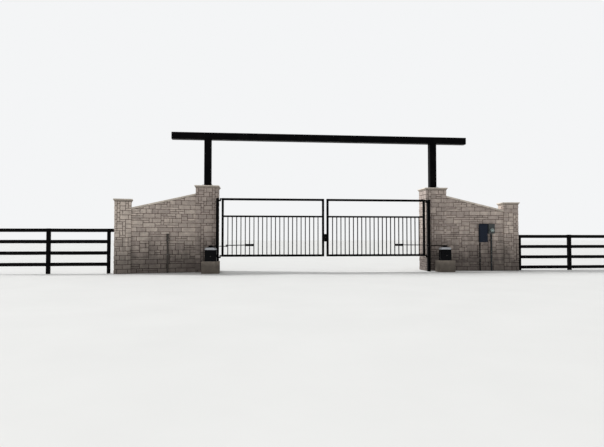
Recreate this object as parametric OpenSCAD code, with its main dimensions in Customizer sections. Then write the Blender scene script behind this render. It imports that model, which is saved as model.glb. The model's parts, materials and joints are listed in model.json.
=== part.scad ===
// Ranch entrance gateway: stone pillars and wing walls, a steel header beam on posts, a pair of
// picketed swing gate leaves moved by crank-arm operators, and two bays of rail fence each side.
// X runs along the gateway with 0 at the middle of the driveway, Y runs from the side that the
// gates open towards (negative) to the far side, and Z is up from the lowest ground.

/* [Driveway] */
// Clear width between the main pillars
drive_w = 7620; // [7200:20:9200]
// Height of the driveway above the lowest ground, down to which every foot runs
drive_z = 400; // [300:20:600]

/* [Main pillars] */
// Width of a main pillar, along the gateway
pillar_w = 780; // [640:20:960]
// Depth of a main pillar, front to back
pillar_d = 780; // [640:20:960]
// Top of a main pillar's cap above the driveway
pillar_top = 2680; // [2500:20:3400]
// Thickness of every cap
cap_t = 90; // [60:5:120]
// How far every cap stands out past its pillar
cap_over = 45; // [20:5:80]

/* [Outer pillars] */
// Width of an outer pillar, along the wall
outer_w = 540; // [420:20:700]
// Depth of an outer pillar
outer_d = 540; // [460:20:700]
// Top of an outer pillar's cap above the driveway
outer_top = 2140; // [2040:20:2600]

/* [Wing walls] */
// Length of a wing wall between its pillars
wall_l = 2145; // [1700:5:2600]
// Thickness of a wing wall
wall_t = 400; // [300:10:430]
// How far the front of a wing wall lies behind the pillars' faces
wall_set = 50; // [20:5:80]
// Top of the coping at the main pillar, above the driveway
wall_top_in = 2390; // [2100:10:2480]
// Top of the coping at the outer pillar, above the driveway
wall_top_out = 1855; // [1500:5:1900]
// Thickness of the coping
coping_t = 64; // [40:2:90]
// How far the coping stands out past the wall's faces
coping_over = 20; // [5:5:40]
// Angle of the left wing wall towards the front, in degrees
left_splay = 12; // [0:1:15]
// Angle of the right wing wall towards the front, in degrees
right_splay = 5; // [0:1:15]

/* [Header beam] */
// Length of the header beam
beam_l = 10970; // [10200:10:13400]
// Height and width of the header beam, and width of its posts
beam_w = 254; // [200:2:305]
// Clear height under the header beam, above the driveway
beam_clear = 4375; // [4200:25:5300]
// Width of a post's base plate
base_plate_w = 380; // [340:10:420]
// Thickness of a post's base plate
base_plate_t = 20; // [12:1:30]

/* [Gate] */
// Distance from the front of the pillars to the middle plane of the gate
gate_out = 290; // [240:5:350]
// Width of a hinge post
post_w = 102; // [89:1:127]
// How far a hinge post's inner face stands inside its pillar's face
post_in = 62; // [30:2:90]
// Gap between a hinge post and its leaf, filled by the hinges
hinge_gap = 92; // [80:2:120]
// Gap between the two meeting stiles
meet_gap = 86; // [60:2:110]
// Height of the bottom of a leaf above the driveway
leaf_clear = 155; // [100:5:200]
// Height of a leaf
leaf_h = 2050; // [1800:10:2400]
// Width of the frame tubes
frame_t = 64; // [51:1:76]
// Height of the middle rail
mid_t = 51; // [38:1:64]
// Height of the middle of the middle rail above the driveway
mid_h = 1570; // [1200:10:1640]
// Width of a picket
picket_w = 25; // [19:1:32]
// Number of pickets in a leaf
picket_n = 22; // [16:1:26]

/* [Gate hinges] */
// Length of the lock's case between the meeting stiles
lock_l = 270; // [200:5:320]
// Height of the middle of the lock above the driveway
lock_h = 820; // [700:10:1000]
// Radius of a hinge barrel
barrel_r = 24; // [20:1:28]
// Height of each half of a hinge
barrel_h = 52; // [40:2:70]
// Radius of a hinge pin
hinge_pin_r = 12; // [10:0.5:14]
// Vertical gap between the two halves of a hinge
hinge_play = 1; // [0.5:0.5:2]

/* [Operators] */
// Distance of the left operator's shaft outwards from the edge of the driveway
left_shaft_at = 190; // [150:10:290]
// Distance of the right operator's shaft outwards from the edge of the driveway
right_shaft_at = 490; // [190:10:520]
// Distance of the shafts in front of the gate's middle plane
shaft_out = 270; // [260:5:330]
// Width of an operator's case
case_w = 410; // [340:10:440]
// Depth of an operator's case
case_d = 320; // [280:10:330]
// Top of an operator's case above the driveway
case_top = 505; // [480:5:505]
// Width of an operator's pad
pad_w = 600; // [520:10:660]
// Depth of an operator's pad
pad_d = 400; // [360:10:400]
// Height of a pad above the driveway
pad_rise = 15; // [5:5:40]
// Length of a crank between its pivots
crank_l = 700; // [690:5:740]
// Length of a rod between its pivots
rod_l = 880; // [870:5:920]
// Thickness of a crank and of a rod
arm_t = 25; // [20:1:30]
// Height of the middle of a rod above the driveway
arm_h = 563; // [560:1:590]
// Gap between a crank and the rod that passes over it
arm_gap = 6; // [5:1:8]
// Distance of a rod's pin on its bracket from the hinges
pivot_at = 902; // [760:2:1080]

/* [Fence] */
// Number of bays each side
bays = 2; // [1:1:3]
// Distance between posts of the left fence
left_bay = 1970; // [1700:10:2600]
// Distance between posts of the right fence
right_bay = 2000; // [1700:10:2600]
// Top of the left fence's top rail above the lowest ground
left_rail_top = 1530; // [1400:10:1700]
// Top of the right fence's top rail above the lowest ground
right_rail_top = 1320; // [1300:10:1700]
// Distance between rails, middle to middle
rail_pitch = 385; // [300:5:400]
// Height of a rail
rail_h = 90; // [70:5:110]
// Thickness of a rail
rail_t = 40; // [30:5:60]
// Width of a line post
line_post_w = 115; // [100:5:160]
// How far a line post stands above the left fence's top rail
left_post_rise = 4; // [0:1:40]
// How far a line post stands above the right fence's top rail
right_post_rise = 22; // [0:1:40]
// Width of the post next to the outer pillar
end_post_w = 100; // [80:5:120]
// Gap between the left outer pillar and its end post
left_end_gap = 130; // [100:5:200]
// Gap between the right outer pillar and its end post
right_end_gap = 90; // [5:5:200]

/* [Electrical] */
// Width of the panel
panel_w = 285; // [260:5:400]
// Height of the panel
panel_h = 660; // [500:10:700]
// Depth of the panel, with its door
panel_d = 150; // [120:5:200]
// Distance along the wall from the main pillar to the panel
panel_at = 1204; // [900:2:1210]
// Bottom of the panel above the driveway
panel_z = 665; // [500:5:750]
// Width of the meter socket
meter_w = 235; // [200:5:250]
// Height of the meter socket
meter_h = 348; // [340:2:420]
// Depth of the meter socket
meter_d = 110; // [90:5:140]
// Gap along the wall between the panel and the meter socket
meter_gap = 54; // [40:2:110]
// Radius of the meter's glass
dome_r = 78; // [70:1:84]
// Radius of the panel's conduit
panel_conduit_r = 20; // [16:1:27]
// Radius of the meter's conduit
meter_conduit_r = 30; // [20:1:32]

/* [Riser] */
// Width of the riser in front of the left wing wall
riser_w = 80; // [60:5:100]
// Depth of the riser
riser_d = 60; // [40:5:80]
// Top of the riser above the driveway
riser_top = 955; // [600:5:1100]
// Distance along the wall from the main pillar to the riser
riser_at = 900; // [400:10:1400]

/* [Hidden] */

eps = 1;
cap_foot = 8;            // how far a cap's underside stands out past its pillar
cap_ease = 8;            // how far the top edges of a cap are eased
rails = 4;
round_fn = 48;
fit_gap = 0.05;          // radial clearance of a pin in its bore
stone = [0.72, 0.66, 0.60];
cap_stone = [0.78, 0.74, 0.69];
black = [0.05, 0.05, 0.06];
slate = [0.20, 0.22, 0.25];
concrete = [0.66, 0.64, 0.60];

// Places along X
pillar_in = drive_w / 2;
pillar_out = pillar_in + pillar_w;
post_face = pillar_in - post_in;
hinge_x = post_face - hinge_gap / 2;
leaf_x = post_face - hinge_gap;
leaf_w = leaf_x - meet_gap / 2;
hinge_y = -gate_out;

// Heights above the lowest ground
cap_z = drive_z + pillar_top - cap_t;
leaf_z = drive_z + leaf_clear;
leaf_top = leaf_z + leaf_h;
mid_z = drive_z + mid_h - mid_t / 2;
beam_z = drive_z + beam_clear;
pad_z = drive_z + pad_rise;
arm_z = drive_z + arm_h;
crank_z = arm_z - arm_t / 2 - arm_gap - arm_t;

// Pickets, counted from the hinge
picket_pitch = (leaf_w - 2 * frame_t) / (picket_n + 1);
function picket_x(i) = leaf_x - frame_t - i * picket_pitch;

// Hinges: the height at which the two halves of each one meet
hinge_splits = [leaf_z + frame_t / 2 - barrel_h / 2, leaf_top - frame_t / 2 - barrel_h / 2];

// Lock
lock_t = 50;
lock_gap = 6;

// Hinge posts and hinges
cap_plate_t = 8;
cap_plate_out = 3;
hinge_web_t = 20;
hinge_pin_end = 4;

// Brackets
bracket_t = 10;
bracket_h = 80;
bracket_l = 330;
bracket_end = 50;        // how far the plate runs on past the rod's pin, towards the hinges
lug_w = 60;
lug_t = 12;
lug_gap = 5;
pivot_reach = 62;
pivot_pin_r = 10;
pin_end = 6;
pivot = [hinge_x - pivot_at, hinge_y - picket_w / 2 - bracket_t - pivot_reach];

// Operators
left_shaft = [pillar_in + left_shaft_at, hinge_y - shaft_out];
right_shaft = [pillar_in + right_shaft_at, hinge_y - shaft_out];
shaft_r = 25;
hub_r = 80;
hub_h = 30;
hub_play = 1;
elbow_r = 38;
arm_root_w = 96;
arm_end_w = 52;
bolt_r = 18;
bolt_t = 13;
rod_neck_w = 34;
rod_neck_l = 90;
rod_r = 15;
case_r = 45;
foot_plate_t = 12;
foot_plate_out = 12;
keylock_r = 16;
keylock_h = 170;
shoulder_h = 80;
shoulder_in = 50;
lid_t = 22;

// Left and right sides are built at positive X, and the left one is mirrored
module left() mirror([1, 0, 0]) children();

// A bar along X with rounded long edges
module round_bar(l, w, r) {
    translate([0, -w / 2 + r, -w / 2]) cube([l, w - 2 * r, w]);
    translate([0, -w / 2, -w / 2 + r]) cube([l, w, w - 2 * r]);
    for (y = [-1, 1], z = [-1, 1])
        translate([0, y * (w / 2 - r), z * (w / 2 - r)]) rotate([0, 90, 0]) cylinder(r = r, h = l, $fn = 32);
}

// A cap: a slab with eased top edges over a cove that draws in towards the pillar
module cap(w, d) {
    cove = cap_t / 2;
    hull() {
        cap_layer(w, d, cap_foot, 0, cap_ease);
        cap_layer(w, d, cap_over, cove, cap_t - cove - cap_ease);
        cap_layer(w, d, cap_over - cap_ease, cap_t - cap_ease, cap_ease);
    }
}
module cap_layer(w, d, over, z, h)
    translate([-w / 2 - over, -d / 2 - over, z]) cube([w + 2 * over, d + 2 * over, h]);

module main_pillar_body(h = cap_z) translate([pillar_in, 0, 0]) cube([pillar_w, pillar_d, h]);
module main_pillar() color(stone) main_pillar_body();
module main_cap() color(cap_stone)
    translate([pillar_in + pillar_w / 2, pillar_d / 2, cap_z]) cap(pillar_w, pillar_d);

// The wing wall's own frame: x along the wall from the main pillar, y = 0 on the pillars' faces
module along_wall(splay) translate([pillar_out, 0, 0]) rotate([0, 0, -splay]) children();

wall_lap = (wall_set + wall_t + coping_over) * tan(max(left_splay, right_splay)) + eps;
function wall_top(x) = drive_z + wall_top_in + (wall_top_out - wall_top_in) * x / wall_l;

// A slab under the sloping line of the wall's top, run on into the main pillar and trimmed by it
module wall_slab(splay, y, t, low, high) {
    lap = -wall_lap;
    difference() {
        along_wall(splay) translate([0, y + t, 0]) rotate([90, 0, 0]) linear_extrude(t)
            polygon([
                [lap, low < 0 ? wall_top(lap) + low : 0], [wall_l, low < 0 ? wall_top(wall_l) + low : 0],
                [wall_l, wall_top(wall_l) + high], [lap, wall_top(lap) + high]
            ]);
        main_pillar_body(cap_z + eps);
    }
}

module wing_wall(splay) color(stone) wall_slab(splay, wall_set, wall_t, 0, -coping_t);
module coping(splay) color(cap_stone)
    wall_slab(splay, wall_set - coping_over, wall_t + 2 * coping_over, -coping_t, 0);

module outer_pillar_body(splay)
    along_wall(splay) translate([wall_l, 0, 0]) cube([outer_w, outer_d, drive_z + outer_top - cap_t]);
module outer_pillar(splay) color(stone) outer_pillar_body(splay);
module outer_cap(splay) color(cap_stone)
    along_wall(splay) translate([wall_l + outer_w / 2, outer_d / 2, drive_z + outer_top - cap_t])
        cap(outer_w, outer_d);

module header_beam() color(black)
    translate([-beam_l / 2, pillar_d / 2, beam_z + beam_w / 2]) round_bar(beam_l, beam_w, 25);

module beam_post() color(black) translate([pillar_in + pillar_w / 2, pillar_d / 2, 0]) {
    foot = drive_z + pillar_top;
    translate([-base_plate_w / 2, -base_plate_w / 2, foot]) cube([base_plate_w, base_plate_w, base_plate_t]);
    translate([0, 0, foot]) rotate([0, -90, 0]) round_bar(beam_z - foot, beam_w, 25);
}

// The lower half of each hinge is welded to the post, with the pin that rises through the upper half
module hinge_post() color(black) {
    translate([post_face, hinge_y - post_w / 2, 0]) cube([post_w, post_w, leaf_top - cap_plate_t]);
    translate([post_face - cap_plate_out, hinge_y - post_w / 2 - cap_plate_out, leaf_top - cap_plate_t])
        cube([post_w + 2 * cap_plate_out, post_w + 2 * cap_plate_out, cap_plate_t]);
    for (z = hinge_splits) {
        translate([hinge_x, hinge_y, z - barrel_h]) cylinder(r = barrel_r, h = barrel_h, $fn = round_fn);
        translate([hinge_x, hinge_y, z - barrel_h])
            cylinder(r = hinge_pin_r, h = 2 * barrel_h + hinge_play + hinge_pin_end, $fn = round_fn);
        translate([hinge_x, hinge_y - hinge_web_t / 2, z - barrel_h])
            cube([hinge_gap / 2 + eps, hinge_web_t, barrel_h]);
    }
}

module leaf_frame() color(black) {
    y = hinge_y - frame_t / 2;
    translate([leaf_x - frame_t, y, leaf_z]) cube([frame_t, frame_t, leaf_h]);
    translate([leaf_x - leaf_w, y, leaf_z]) cube([frame_t, frame_t, leaf_h]);
    for (z = [leaf_z, leaf_top - frame_t])
        translate([leaf_x - leaf_w, y, z]) cube([leaf_w, frame_t, frame_t]);
    translate([leaf_x - leaf_w, hinge_y - mid_t / 2, mid_z]) cube([leaf_w, mid_t, mid_t]);
    for (z = hinge_splits) translate([0, 0, z + hinge_play]) difference() {
        union() {
            translate([hinge_x, hinge_y, 0]) cylinder(r = barrel_r, h = barrel_h, $fn = round_fn);
            translate([leaf_x - eps, hinge_y - hinge_web_t / 2, 0])
                cube([hinge_gap / 2 + eps, hinge_web_t, barrel_h]);
        }
        translate([hinge_x, hinge_y, -eps])
            cylinder(r = hinge_pin_r + fit_gap, h = barrel_h + 2 * eps, $fn = round_fn);
    }
}

module pickets() color(black)
    for (i = [1 : picket_n])
        translate([picket_x(i) - picket_w / 2, hinge_y - picket_w / 2, leaf_z + frame_t])
            cube([picket_w, picket_w, mid_z - leaf_z - frame_t]);

// A plate across the pickets, with two lugs that hold the rod's pin
module arm_bracket() color(black) {
    face = hinge_y - picket_w / 2;
    lug_z = arm_t / 2 + lug_gap;
    pin_z = lug_z + lug_t + pin_end;
    translate([pivot.x + bracket_end - bracket_l, face - bracket_t, arm_z - bracket_h / 2])
        cube([bracket_l, bracket_t, bracket_h]);
    for (z = [arm_z + lug_z, arm_z - lug_z - lug_t]) {
        translate([pivot.x - lug_w / 2, pivot.y, z]) cube([lug_w, pivot_reach + eps, lug_t]);
        translate([pivot.x, pivot.y, z]) cylinder(d = lug_w, h = lug_t, $fn = round_fn);
    }
    translate([pivot.x, pivot.y, arm_z - pin_z]) cylinder(r = pivot_pin_r, h = 2 * pin_z, $fn = round_fn);
}

// The lock's case is welded to the right leaf's meeting stile and stops short of the left one
module gate_lock() color(slate)
    translate([-meet_gap / 2 + lock_gap, hinge_y - lock_t / 2, drive_z + lock_h - lock_l / 2])
        cube([meet_gap - lock_gap, lock_t, lock_l]);

// A rod is never too short to reach, and the elbow lies where the two circles cross, on the front side
function rod_span(shaft) = max(rod_l, norm(pivot - shaft) - crank_l + 35);
function elbow_deg(shaft) = let (d = pivot - shaft, r = norm(d), rod = rod_span(shaft))
    atan2(d.y, d.x) + acos((crank_l * crank_l + r * r - rod * rod) / (2 * crank_l * r));
function elbow(shaft) = shaft + crank_l * [cos(elbow_deg(shaft)), sin(elbow_deg(shaft))];

module operator_pad(shaft) color(concrete)
    translate([shaft.x - pad_w / 2, shaft.y - pad_d / 2, 0]) cube([pad_w, pad_d, pad_z]);

// One level of the case: a plate with round corners, drawn in by inset
module case_level(inset, z, h) for (sx = [-1, 1], sy = [-1, 1])
    translate([sx * (case_w / 2 - inset - case_r), sy * (case_d / 2 - inset - case_r), z])
        cylinder(r = case_r, h = h, $fn = 32);

module operator(shaft) color(black) translate([shaft.x, shaft.y, 0]) {
    top = drive_z + case_top;
    hull() case_level(-foot_plate_out, pad_z, foot_plate_t);
    hull() {
        case_level(0, pad_z, foot_plate_t + eps);
        case_level(4, top - lid_t - shoulder_h, eps);
        case_level(shoulder_in, top - lid_t - eps, eps);
    }
    hull() {
        case_level(shoulder_in + 6, top - lid_t - eps, lid_t - 8 + eps);
        case_level(shoulder_in + 14, top - eps, eps);
    }
    translate([0, 0, top - eps])
        cylinder(r = hub_r - 8, h = crank_z + arm_t - hub_h - hub_play - top + eps, $fn = round_fn);
    translate([0, 0, top - eps]) cylinder(r = shaft_r, h = crank_z + arm_t + pin_end - top, $fn = round_fn);
    translate([0, -case_d / 2 + 5, pad_z + keylock_h]) rotate([90, 0, 0])
        cylinder(r = keylock_r, h = 10, $fn = round_fn);
}

module crank(shaft) color(black) {
    translate([shaft.x, shaft.y, crank_z]) rotate(elbow_deg(shaft)) difference() {
        union() {
            translate([0, 0, arm_t - hub_h]) cylinder(r = hub_r, h = hub_h, $fn = round_fn);
            linear_extrude(arm_t)
                polygon([
                    [0, -arm_root_w / 2], [crank_l, -arm_end_w / 2],
                    [crank_l, arm_end_w / 2], [0, arm_root_w / 2]
                ]);
            translate([crank_l, 0, 0]) cylinder(r = elbow_r, h = arm_t, $fn = round_fn);
            translate([crank_l, 0, -bolt_t]) cylinder(r = bolt_r, h = bolt_t + eps, $fn = 6);
        }
        translate([0, 0, arm_t - hub_h - eps])
            cylinder(r = shaft_r + fit_gap, h = hub_h + 2 * eps, $fn = round_fn);
    }
}

module rod(shaft) color(black) {
    reach = elbow(shaft) - pivot;
    span = rod_span(shaft);
    translate([pivot.x, pivot.y, arm_z - arm_t / 2]) rotate(atan2(reach.y, reach.x)) difference() {
        union() {
            cylinder(r = 28, h = arm_t, $fn = round_fn);
            translate([0, -rod_neck_w / 2, 0]) cube([rod_neck_l, rod_neck_w, arm_t]);
            translate([span - rod_neck_l, -rod_neck_w / 2, 0]) cube([rod_neck_l, rod_neck_w, arm_t]);
            translate([rod_neck_l - rod_r, 0, arm_t / 2]) rotate([0, 90, 0])
                cylinder(r = rod_r, h = span - 2 * rod_neck_l + 2 * rod_r, $fn = round_fn);
            translate([span, 0, 0]) cylinder(r = elbow_r, h = arm_t, $fn = round_fn);
            translate([span, 0, arm_t - eps]) cylinder(r = bolt_r, h = bolt_t + eps, $fn = 6);
        }
        translate([0, 0, -eps]) cylinder(r = pivot_pin_r + fit_gap, h = arm_t + 2 * eps, $fn = round_fn);
    }
}

// The fence's own frame: x away from the middle of the end post, y = 0 on the fence's middle plane
function pillar_far_side(splay) = [
    pillar_out + (wall_l + outer_w) * cos(splay) + outer_d / 2 * sin(splay),
    outer_d / 2 * cos(splay) - (wall_l + outer_w) * sin(splay)
];
module along_fence(splay, gap)
    translate([pillar_far_side(splay).x + gap + end_post_w / 2, pillar_far_side(splay).y, 0]) children();

module fence_post(x, w, h) translate([x - w / 2, -w / 2, 0]) cube([w, w, h]);
module fence_posts(splay, gap, bay, top, rise) color(black) along_fence(splay, gap) {
    fence_post(0, end_post_w, top - rail_h);
    for (i = [1 : bays]) fence_post(i * bay, line_post_w, top + rise);
}

module rail(from, to, top) translate([from, -rail_t / 2, top - rail_h]) cube([to - from, rail_t, rail_h]);

// The top rail lies on the end post and runs to the pillar, and the others stop at the end post
module near_rails(splay, gap, bay, top) color(black) {
    stop = bay - line_post_w / 2;
    difference() {
        along_fence(splay, gap) rail(-end_post_w / 2 - gap - rail_t, stop, top);
        outer_pillar_body(splay);
    }
    along_fence(splay, gap) for (i = [1 : rails - 1]) rail(end_post_w / 2, stop, top - i * rail_pitch);
}

module far_rails(splay, gap, bay, top) color(black) along_fence(splay, gap)
    for (b = [1 : bays - 1], i = [0 : rails - 1])
        rail(b * bay + line_post_w / 2, (b + 1) * bay - line_post_w / 2, top - i * rail_pitch);

// Electrical boxes, placed in the right wing wall's frame
door_t = 22;
door_lap = 4;
hood_out = 10;
hood_t = 6;
latch_w = 50;
latch_h = 34;
latch_t = 12;
lip_t = 3;
lip_h = 40;
meter_at = panel_at + panel_w + meter_gap;
meter_mid = meter_at + meter_w / 2;
panel_base = drive_z + panel_z;
meter_base = panel_base + panel_h - meter_h;
conduit_gap = 24;
conduit_inset = 10;        // how far the panel's conduit stays inside the panel's left edge
conduit_hub_out = 7;
conduit_hub_h = 30;
nipple_r = 22;
nipple_z = meter_base + meter_h * 0.75;
dome_z = meter_base + dome_r + 45;
dome_l = 100;
dome_round = 30;
ring_w = 9;
ring_t = 20;

module panel_box() color(slate) along_wall(right_splay) {
    depth = panel_d - door_t;
    translate([panel_at, wall_set - depth, panel_base]) cube([panel_w, depth, panel_h]);
    translate([panel_at - hood_out / 2, wall_set - panel_d - hood_out, panel_base + panel_h])
        cube([panel_w + hood_out, panel_d + hood_out, hood_t]);
}

// The door laps over the box's rim and carries its latch
module panel_door() color(slate) along_wall(right_splay) {
    translate([panel_at - door_lap, wall_set - panel_d, panel_base - door_lap])
        cube([panel_w + 2 * door_lap, door_t, panel_h + door_lap]);
    translate([panel_at + (panel_w - latch_w) / 2, wall_set - panel_d - latch_t, panel_base + 10])
        cube([latch_w, latch_t + eps, latch_h]);
}

// A conduit with the hub that screws it into the box above
module conduit(x, r, top) translate([x, wall_set - conduit_gap - r, 0]) {
    cylinder(r = r, h = top, $fn = round_fn);
    translate([0, 0, top - conduit_hub_h])
        cylinder(r = r + conduit_hub_out, h = conduit_hub_h, $fn = round_fn);
}

module panel_conduit() color(slate) along_wall(right_splay)
    conduit(panel_at + panel_conduit_r + conduit_inset, panel_conduit_r, panel_base);

module meter_socket() color(slate) along_wall(right_splay) {
    translate([meter_at, wall_set - meter_d, meter_base]) cube([meter_w, meter_d, meter_h]);
    translate([meter_at - lip_t, wall_set - meter_d - lip_t, meter_base + meter_h - lip_h])
        cube([meter_w + 2 * lip_t, meter_d + lip_t, lip_h]);
    translate([panel_at + panel_w, wall_set - conduit_gap - nipple_r, nipple_z])
        rotate([0, 90, 0]) cylinder(r = nipple_r, h = meter_gap + eps, $fn = round_fn);
}

// The glass: a drum with a domed end, in its retaining ring
module meter_glass() color([0.75, 0.8, 0.82, 0.5]) along_wall(right_splay)
    translate([meter_mid, wall_set - meter_d, dome_z]) rotate([90, 0, 0]) rotate_extrude($fn = round_fn)
        polygon(concat(
            [[0, 0], [dome_r + ring_w, 0], [dome_r + ring_w, ring_t], [dome_r, ring_t]],
            [for (a = [0 : 15 : 90]) [dome_r, dome_l] + dome_round * [cos(a) - 1, sin(a) - 1]],
            [[0, dome_l]]
        ));

module meter_conduit() color(slate) along_wall(right_splay)
    conduit(meter_mid, meter_conduit_r, meter_base);

module wall_riser() color(slate) along_wall(left_splay)
    translate([riser_at, wall_set - riser_d, 0]) cube([riser_w, riser_d, drive_z + riser_top]);

left() main_pillar();  // left_main_pillar
main_pillar();  // right_main_pillar
left() main_cap();  // left_main_cap
main_cap();  // right_main_cap
left() outer_pillar(left_splay);  // left_outer_pillar
outer_pillar(right_splay);  // right_outer_pillar
left() outer_cap(left_splay);  // left_outer_cap
outer_cap(right_splay);  // right_outer_cap
left() wing_wall(left_splay);  // left_wing_wall
wing_wall(right_splay);  // right_wing_wall
left() coping(left_splay);  // left_coping
coping(right_splay);  // right_coping
left() beam_post();  // left_beam_post
beam_post();  // right_beam_post
header_beam();
left() hinge_post();  // left_hinge_post
hinge_post();  // right_hinge_post
left() leaf_frame();  // left_leaf_frame
leaf_frame();  // right_leaf_frame
left() pickets();  // left_pickets
pickets();  // right_pickets
left() arm_bracket();  // left_arm_bracket
arm_bracket();  // right_arm_bracket
gate_lock();
left() operator_pad(left_shaft);  // left_operator_pad
operator_pad(right_shaft);  // right_operator_pad
left() operator(left_shaft);  // left_operator
operator(right_shaft);  // right_operator
left() crank(left_shaft);  // left_crank
crank(right_shaft);  // right_crank
left() rod(left_shaft);  // left_rod
rod(right_shaft);  // right_rod
left() fence_posts(left_splay, left_end_gap, left_bay, left_rail_top, left_post_rise);  // left_fence_posts
fence_posts(right_splay, right_end_gap, right_bay, right_rail_top, right_post_rise);  // right_fence_posts
left() near_rails(left_splay, left_end_gap, left_bay, left_rail_top);  // left_near_rails
near_rails(right_splay, right_end_gap, right_bay, right_rail_top);  // right_near_rails
left() far_rails(left_splay, left_end_gap, left_bay, left_rail_top);  // left_far_rails
far_rails(right_splay, right_end_gap, right_bay, right_rail_top);  // right_far_rails
panel_box();
panel_door();
panel_conduit();
meter_socket();
meter_glass();
meter_conduit();
left() wall_riser();
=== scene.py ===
"""Looks of a ranch entrance gateway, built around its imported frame.

Stone pillars and wing walls, a steel header beam, a pair of picketed gate leaves with their
operators, rail fences and electrical boxes. All sizes are in metres, in the frame's own axes.
"""

import json
import logging
import math
from collections.abc import Callable, Iterable, Mapping, Sequence
from dataclasses import dataclass, replace
from enum import Enum
from typing import ClassVar, NamedTuple

import bpy
import numpy as np
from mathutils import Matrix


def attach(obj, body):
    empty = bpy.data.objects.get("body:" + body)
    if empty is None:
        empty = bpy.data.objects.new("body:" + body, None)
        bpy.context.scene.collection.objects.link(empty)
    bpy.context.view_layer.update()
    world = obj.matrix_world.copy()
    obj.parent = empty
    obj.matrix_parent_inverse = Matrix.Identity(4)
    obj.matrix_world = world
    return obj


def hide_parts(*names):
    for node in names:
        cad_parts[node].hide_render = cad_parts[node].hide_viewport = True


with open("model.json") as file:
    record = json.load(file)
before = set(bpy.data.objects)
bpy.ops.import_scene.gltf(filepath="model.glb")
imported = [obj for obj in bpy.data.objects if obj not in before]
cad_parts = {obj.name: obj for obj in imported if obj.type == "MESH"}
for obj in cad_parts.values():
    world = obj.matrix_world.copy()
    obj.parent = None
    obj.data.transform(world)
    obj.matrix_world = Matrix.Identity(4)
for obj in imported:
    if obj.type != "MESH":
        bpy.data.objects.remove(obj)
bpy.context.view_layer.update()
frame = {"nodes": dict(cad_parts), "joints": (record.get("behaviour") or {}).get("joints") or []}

log = logging.getLogger("gateway")

Colour = tuple[int, int, int]
Pairs = Sequence[tuple[float, float]]
Array = np.ndarray
Line = Callable[[Array], Array]
Socket = bpy.types.NodeSocket
TONE = "tone"
SHARP_ANGLE = math.radians(34)
BORE_PLAY = 0.0003
CORNERS = np.array([(i, j, 1) for i in (-1, 1) for j in (-1, 1)])


class Side(Enum):
    """The end of the gateway that a sub-assembly belongs to, with the sign of its X."""

    LEFT = -1
    RIGHT = 1

    def node(self, part: str) -> str:
        """Name of this side's node of a part."""
        return f"{self.name.lower()}_{part}"

    def joint(self, part: str) -> Array:
        """Position of this side's joint of a part."""
        return np.array(next(j["pos_m"] for j in frame["joints"] if j["name"] == self.node(part)))


class Axis(Enum):
    """Where a bar, a grain or a fitting points: the axes of its section, then its own."""

    X = ((0, 1, 0), (0, 0, 1), (1, 0, 0))
    Y = ((0, 0, 1), (1, 0, 0), (0, 1, 0))
    Z = ((1, 0, 0), (0, 1, 0), (0, 0, 1))
    FRONT = ((1, 0, 0), (0, 0, 1), (0, -1, 0))
    BACK = ((1, 0, 0), (0, 0, -1), (0, 1, 0))
    DOWN = ((1, 0, 0), (0, -1, 0), (0, 0, -1))


class Box(NamedTuple):
    """Lowest and highest corner of a node."""

    lo: Array
    hi: Array

    @property
    def size(self) -> Array:
        """Its three sizes."""
        return self.hi - self.lo

    @property
    def middle(self) -> Array:
        """Its middle."""
        return (self.lo + self.hi) / 2


@dataclass(frozen=True)
class Placement:
    """A local frame: its origin and the directions of its x, y and z axes."""

    origin: Sequence[float] = (0.0, 0.0, 0.0)
    axes: Sequence[Sequence[float]] = Axis.Z.value

    def out(self, points: Array) -> Array:
        """Points given in this local frame, in the gateway's frame."""
        return np.asarray(self.origin) + points @ np.asarray(self.axes, float)

    def points(self, node: str) -> Array:
        """Reads a frame node's vertices.

        Args:
            node: Its name.

        Returns:
            Array (n, 3) in this local frame.
        """
        mesh = frame["nodes"][node].data
        flat = np.empty(len(mesh.vertices) * 3, np.float32)
        mesh.vertices.foreach_get("co", flat)
        return (flat.reshape(-1, 3).astype(float) - self.origin) @ np.asarray(self.axes, float).T

    def box(self, node: str) -> Box:
        """The box of a frame node along this local frame's axes."""
        local = self.points(node)
        return Box(local.min(axis=0), local.max(axis=0))

    def at(self, *shift: float) -> "Placement":
        """The same axes with the origin moved by a local shift."""
        return Placement(self.out(np.array(shift, float)), self.axes)

    def turned(self, axis: Axis) -> "Placement":
        """The frame whose z points along an axis of this one."""
        return Placement(self.origin, np.asarray(axis.value, float) @ np.asarray(self.axes, float))


GATEWAY = Placement()


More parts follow.
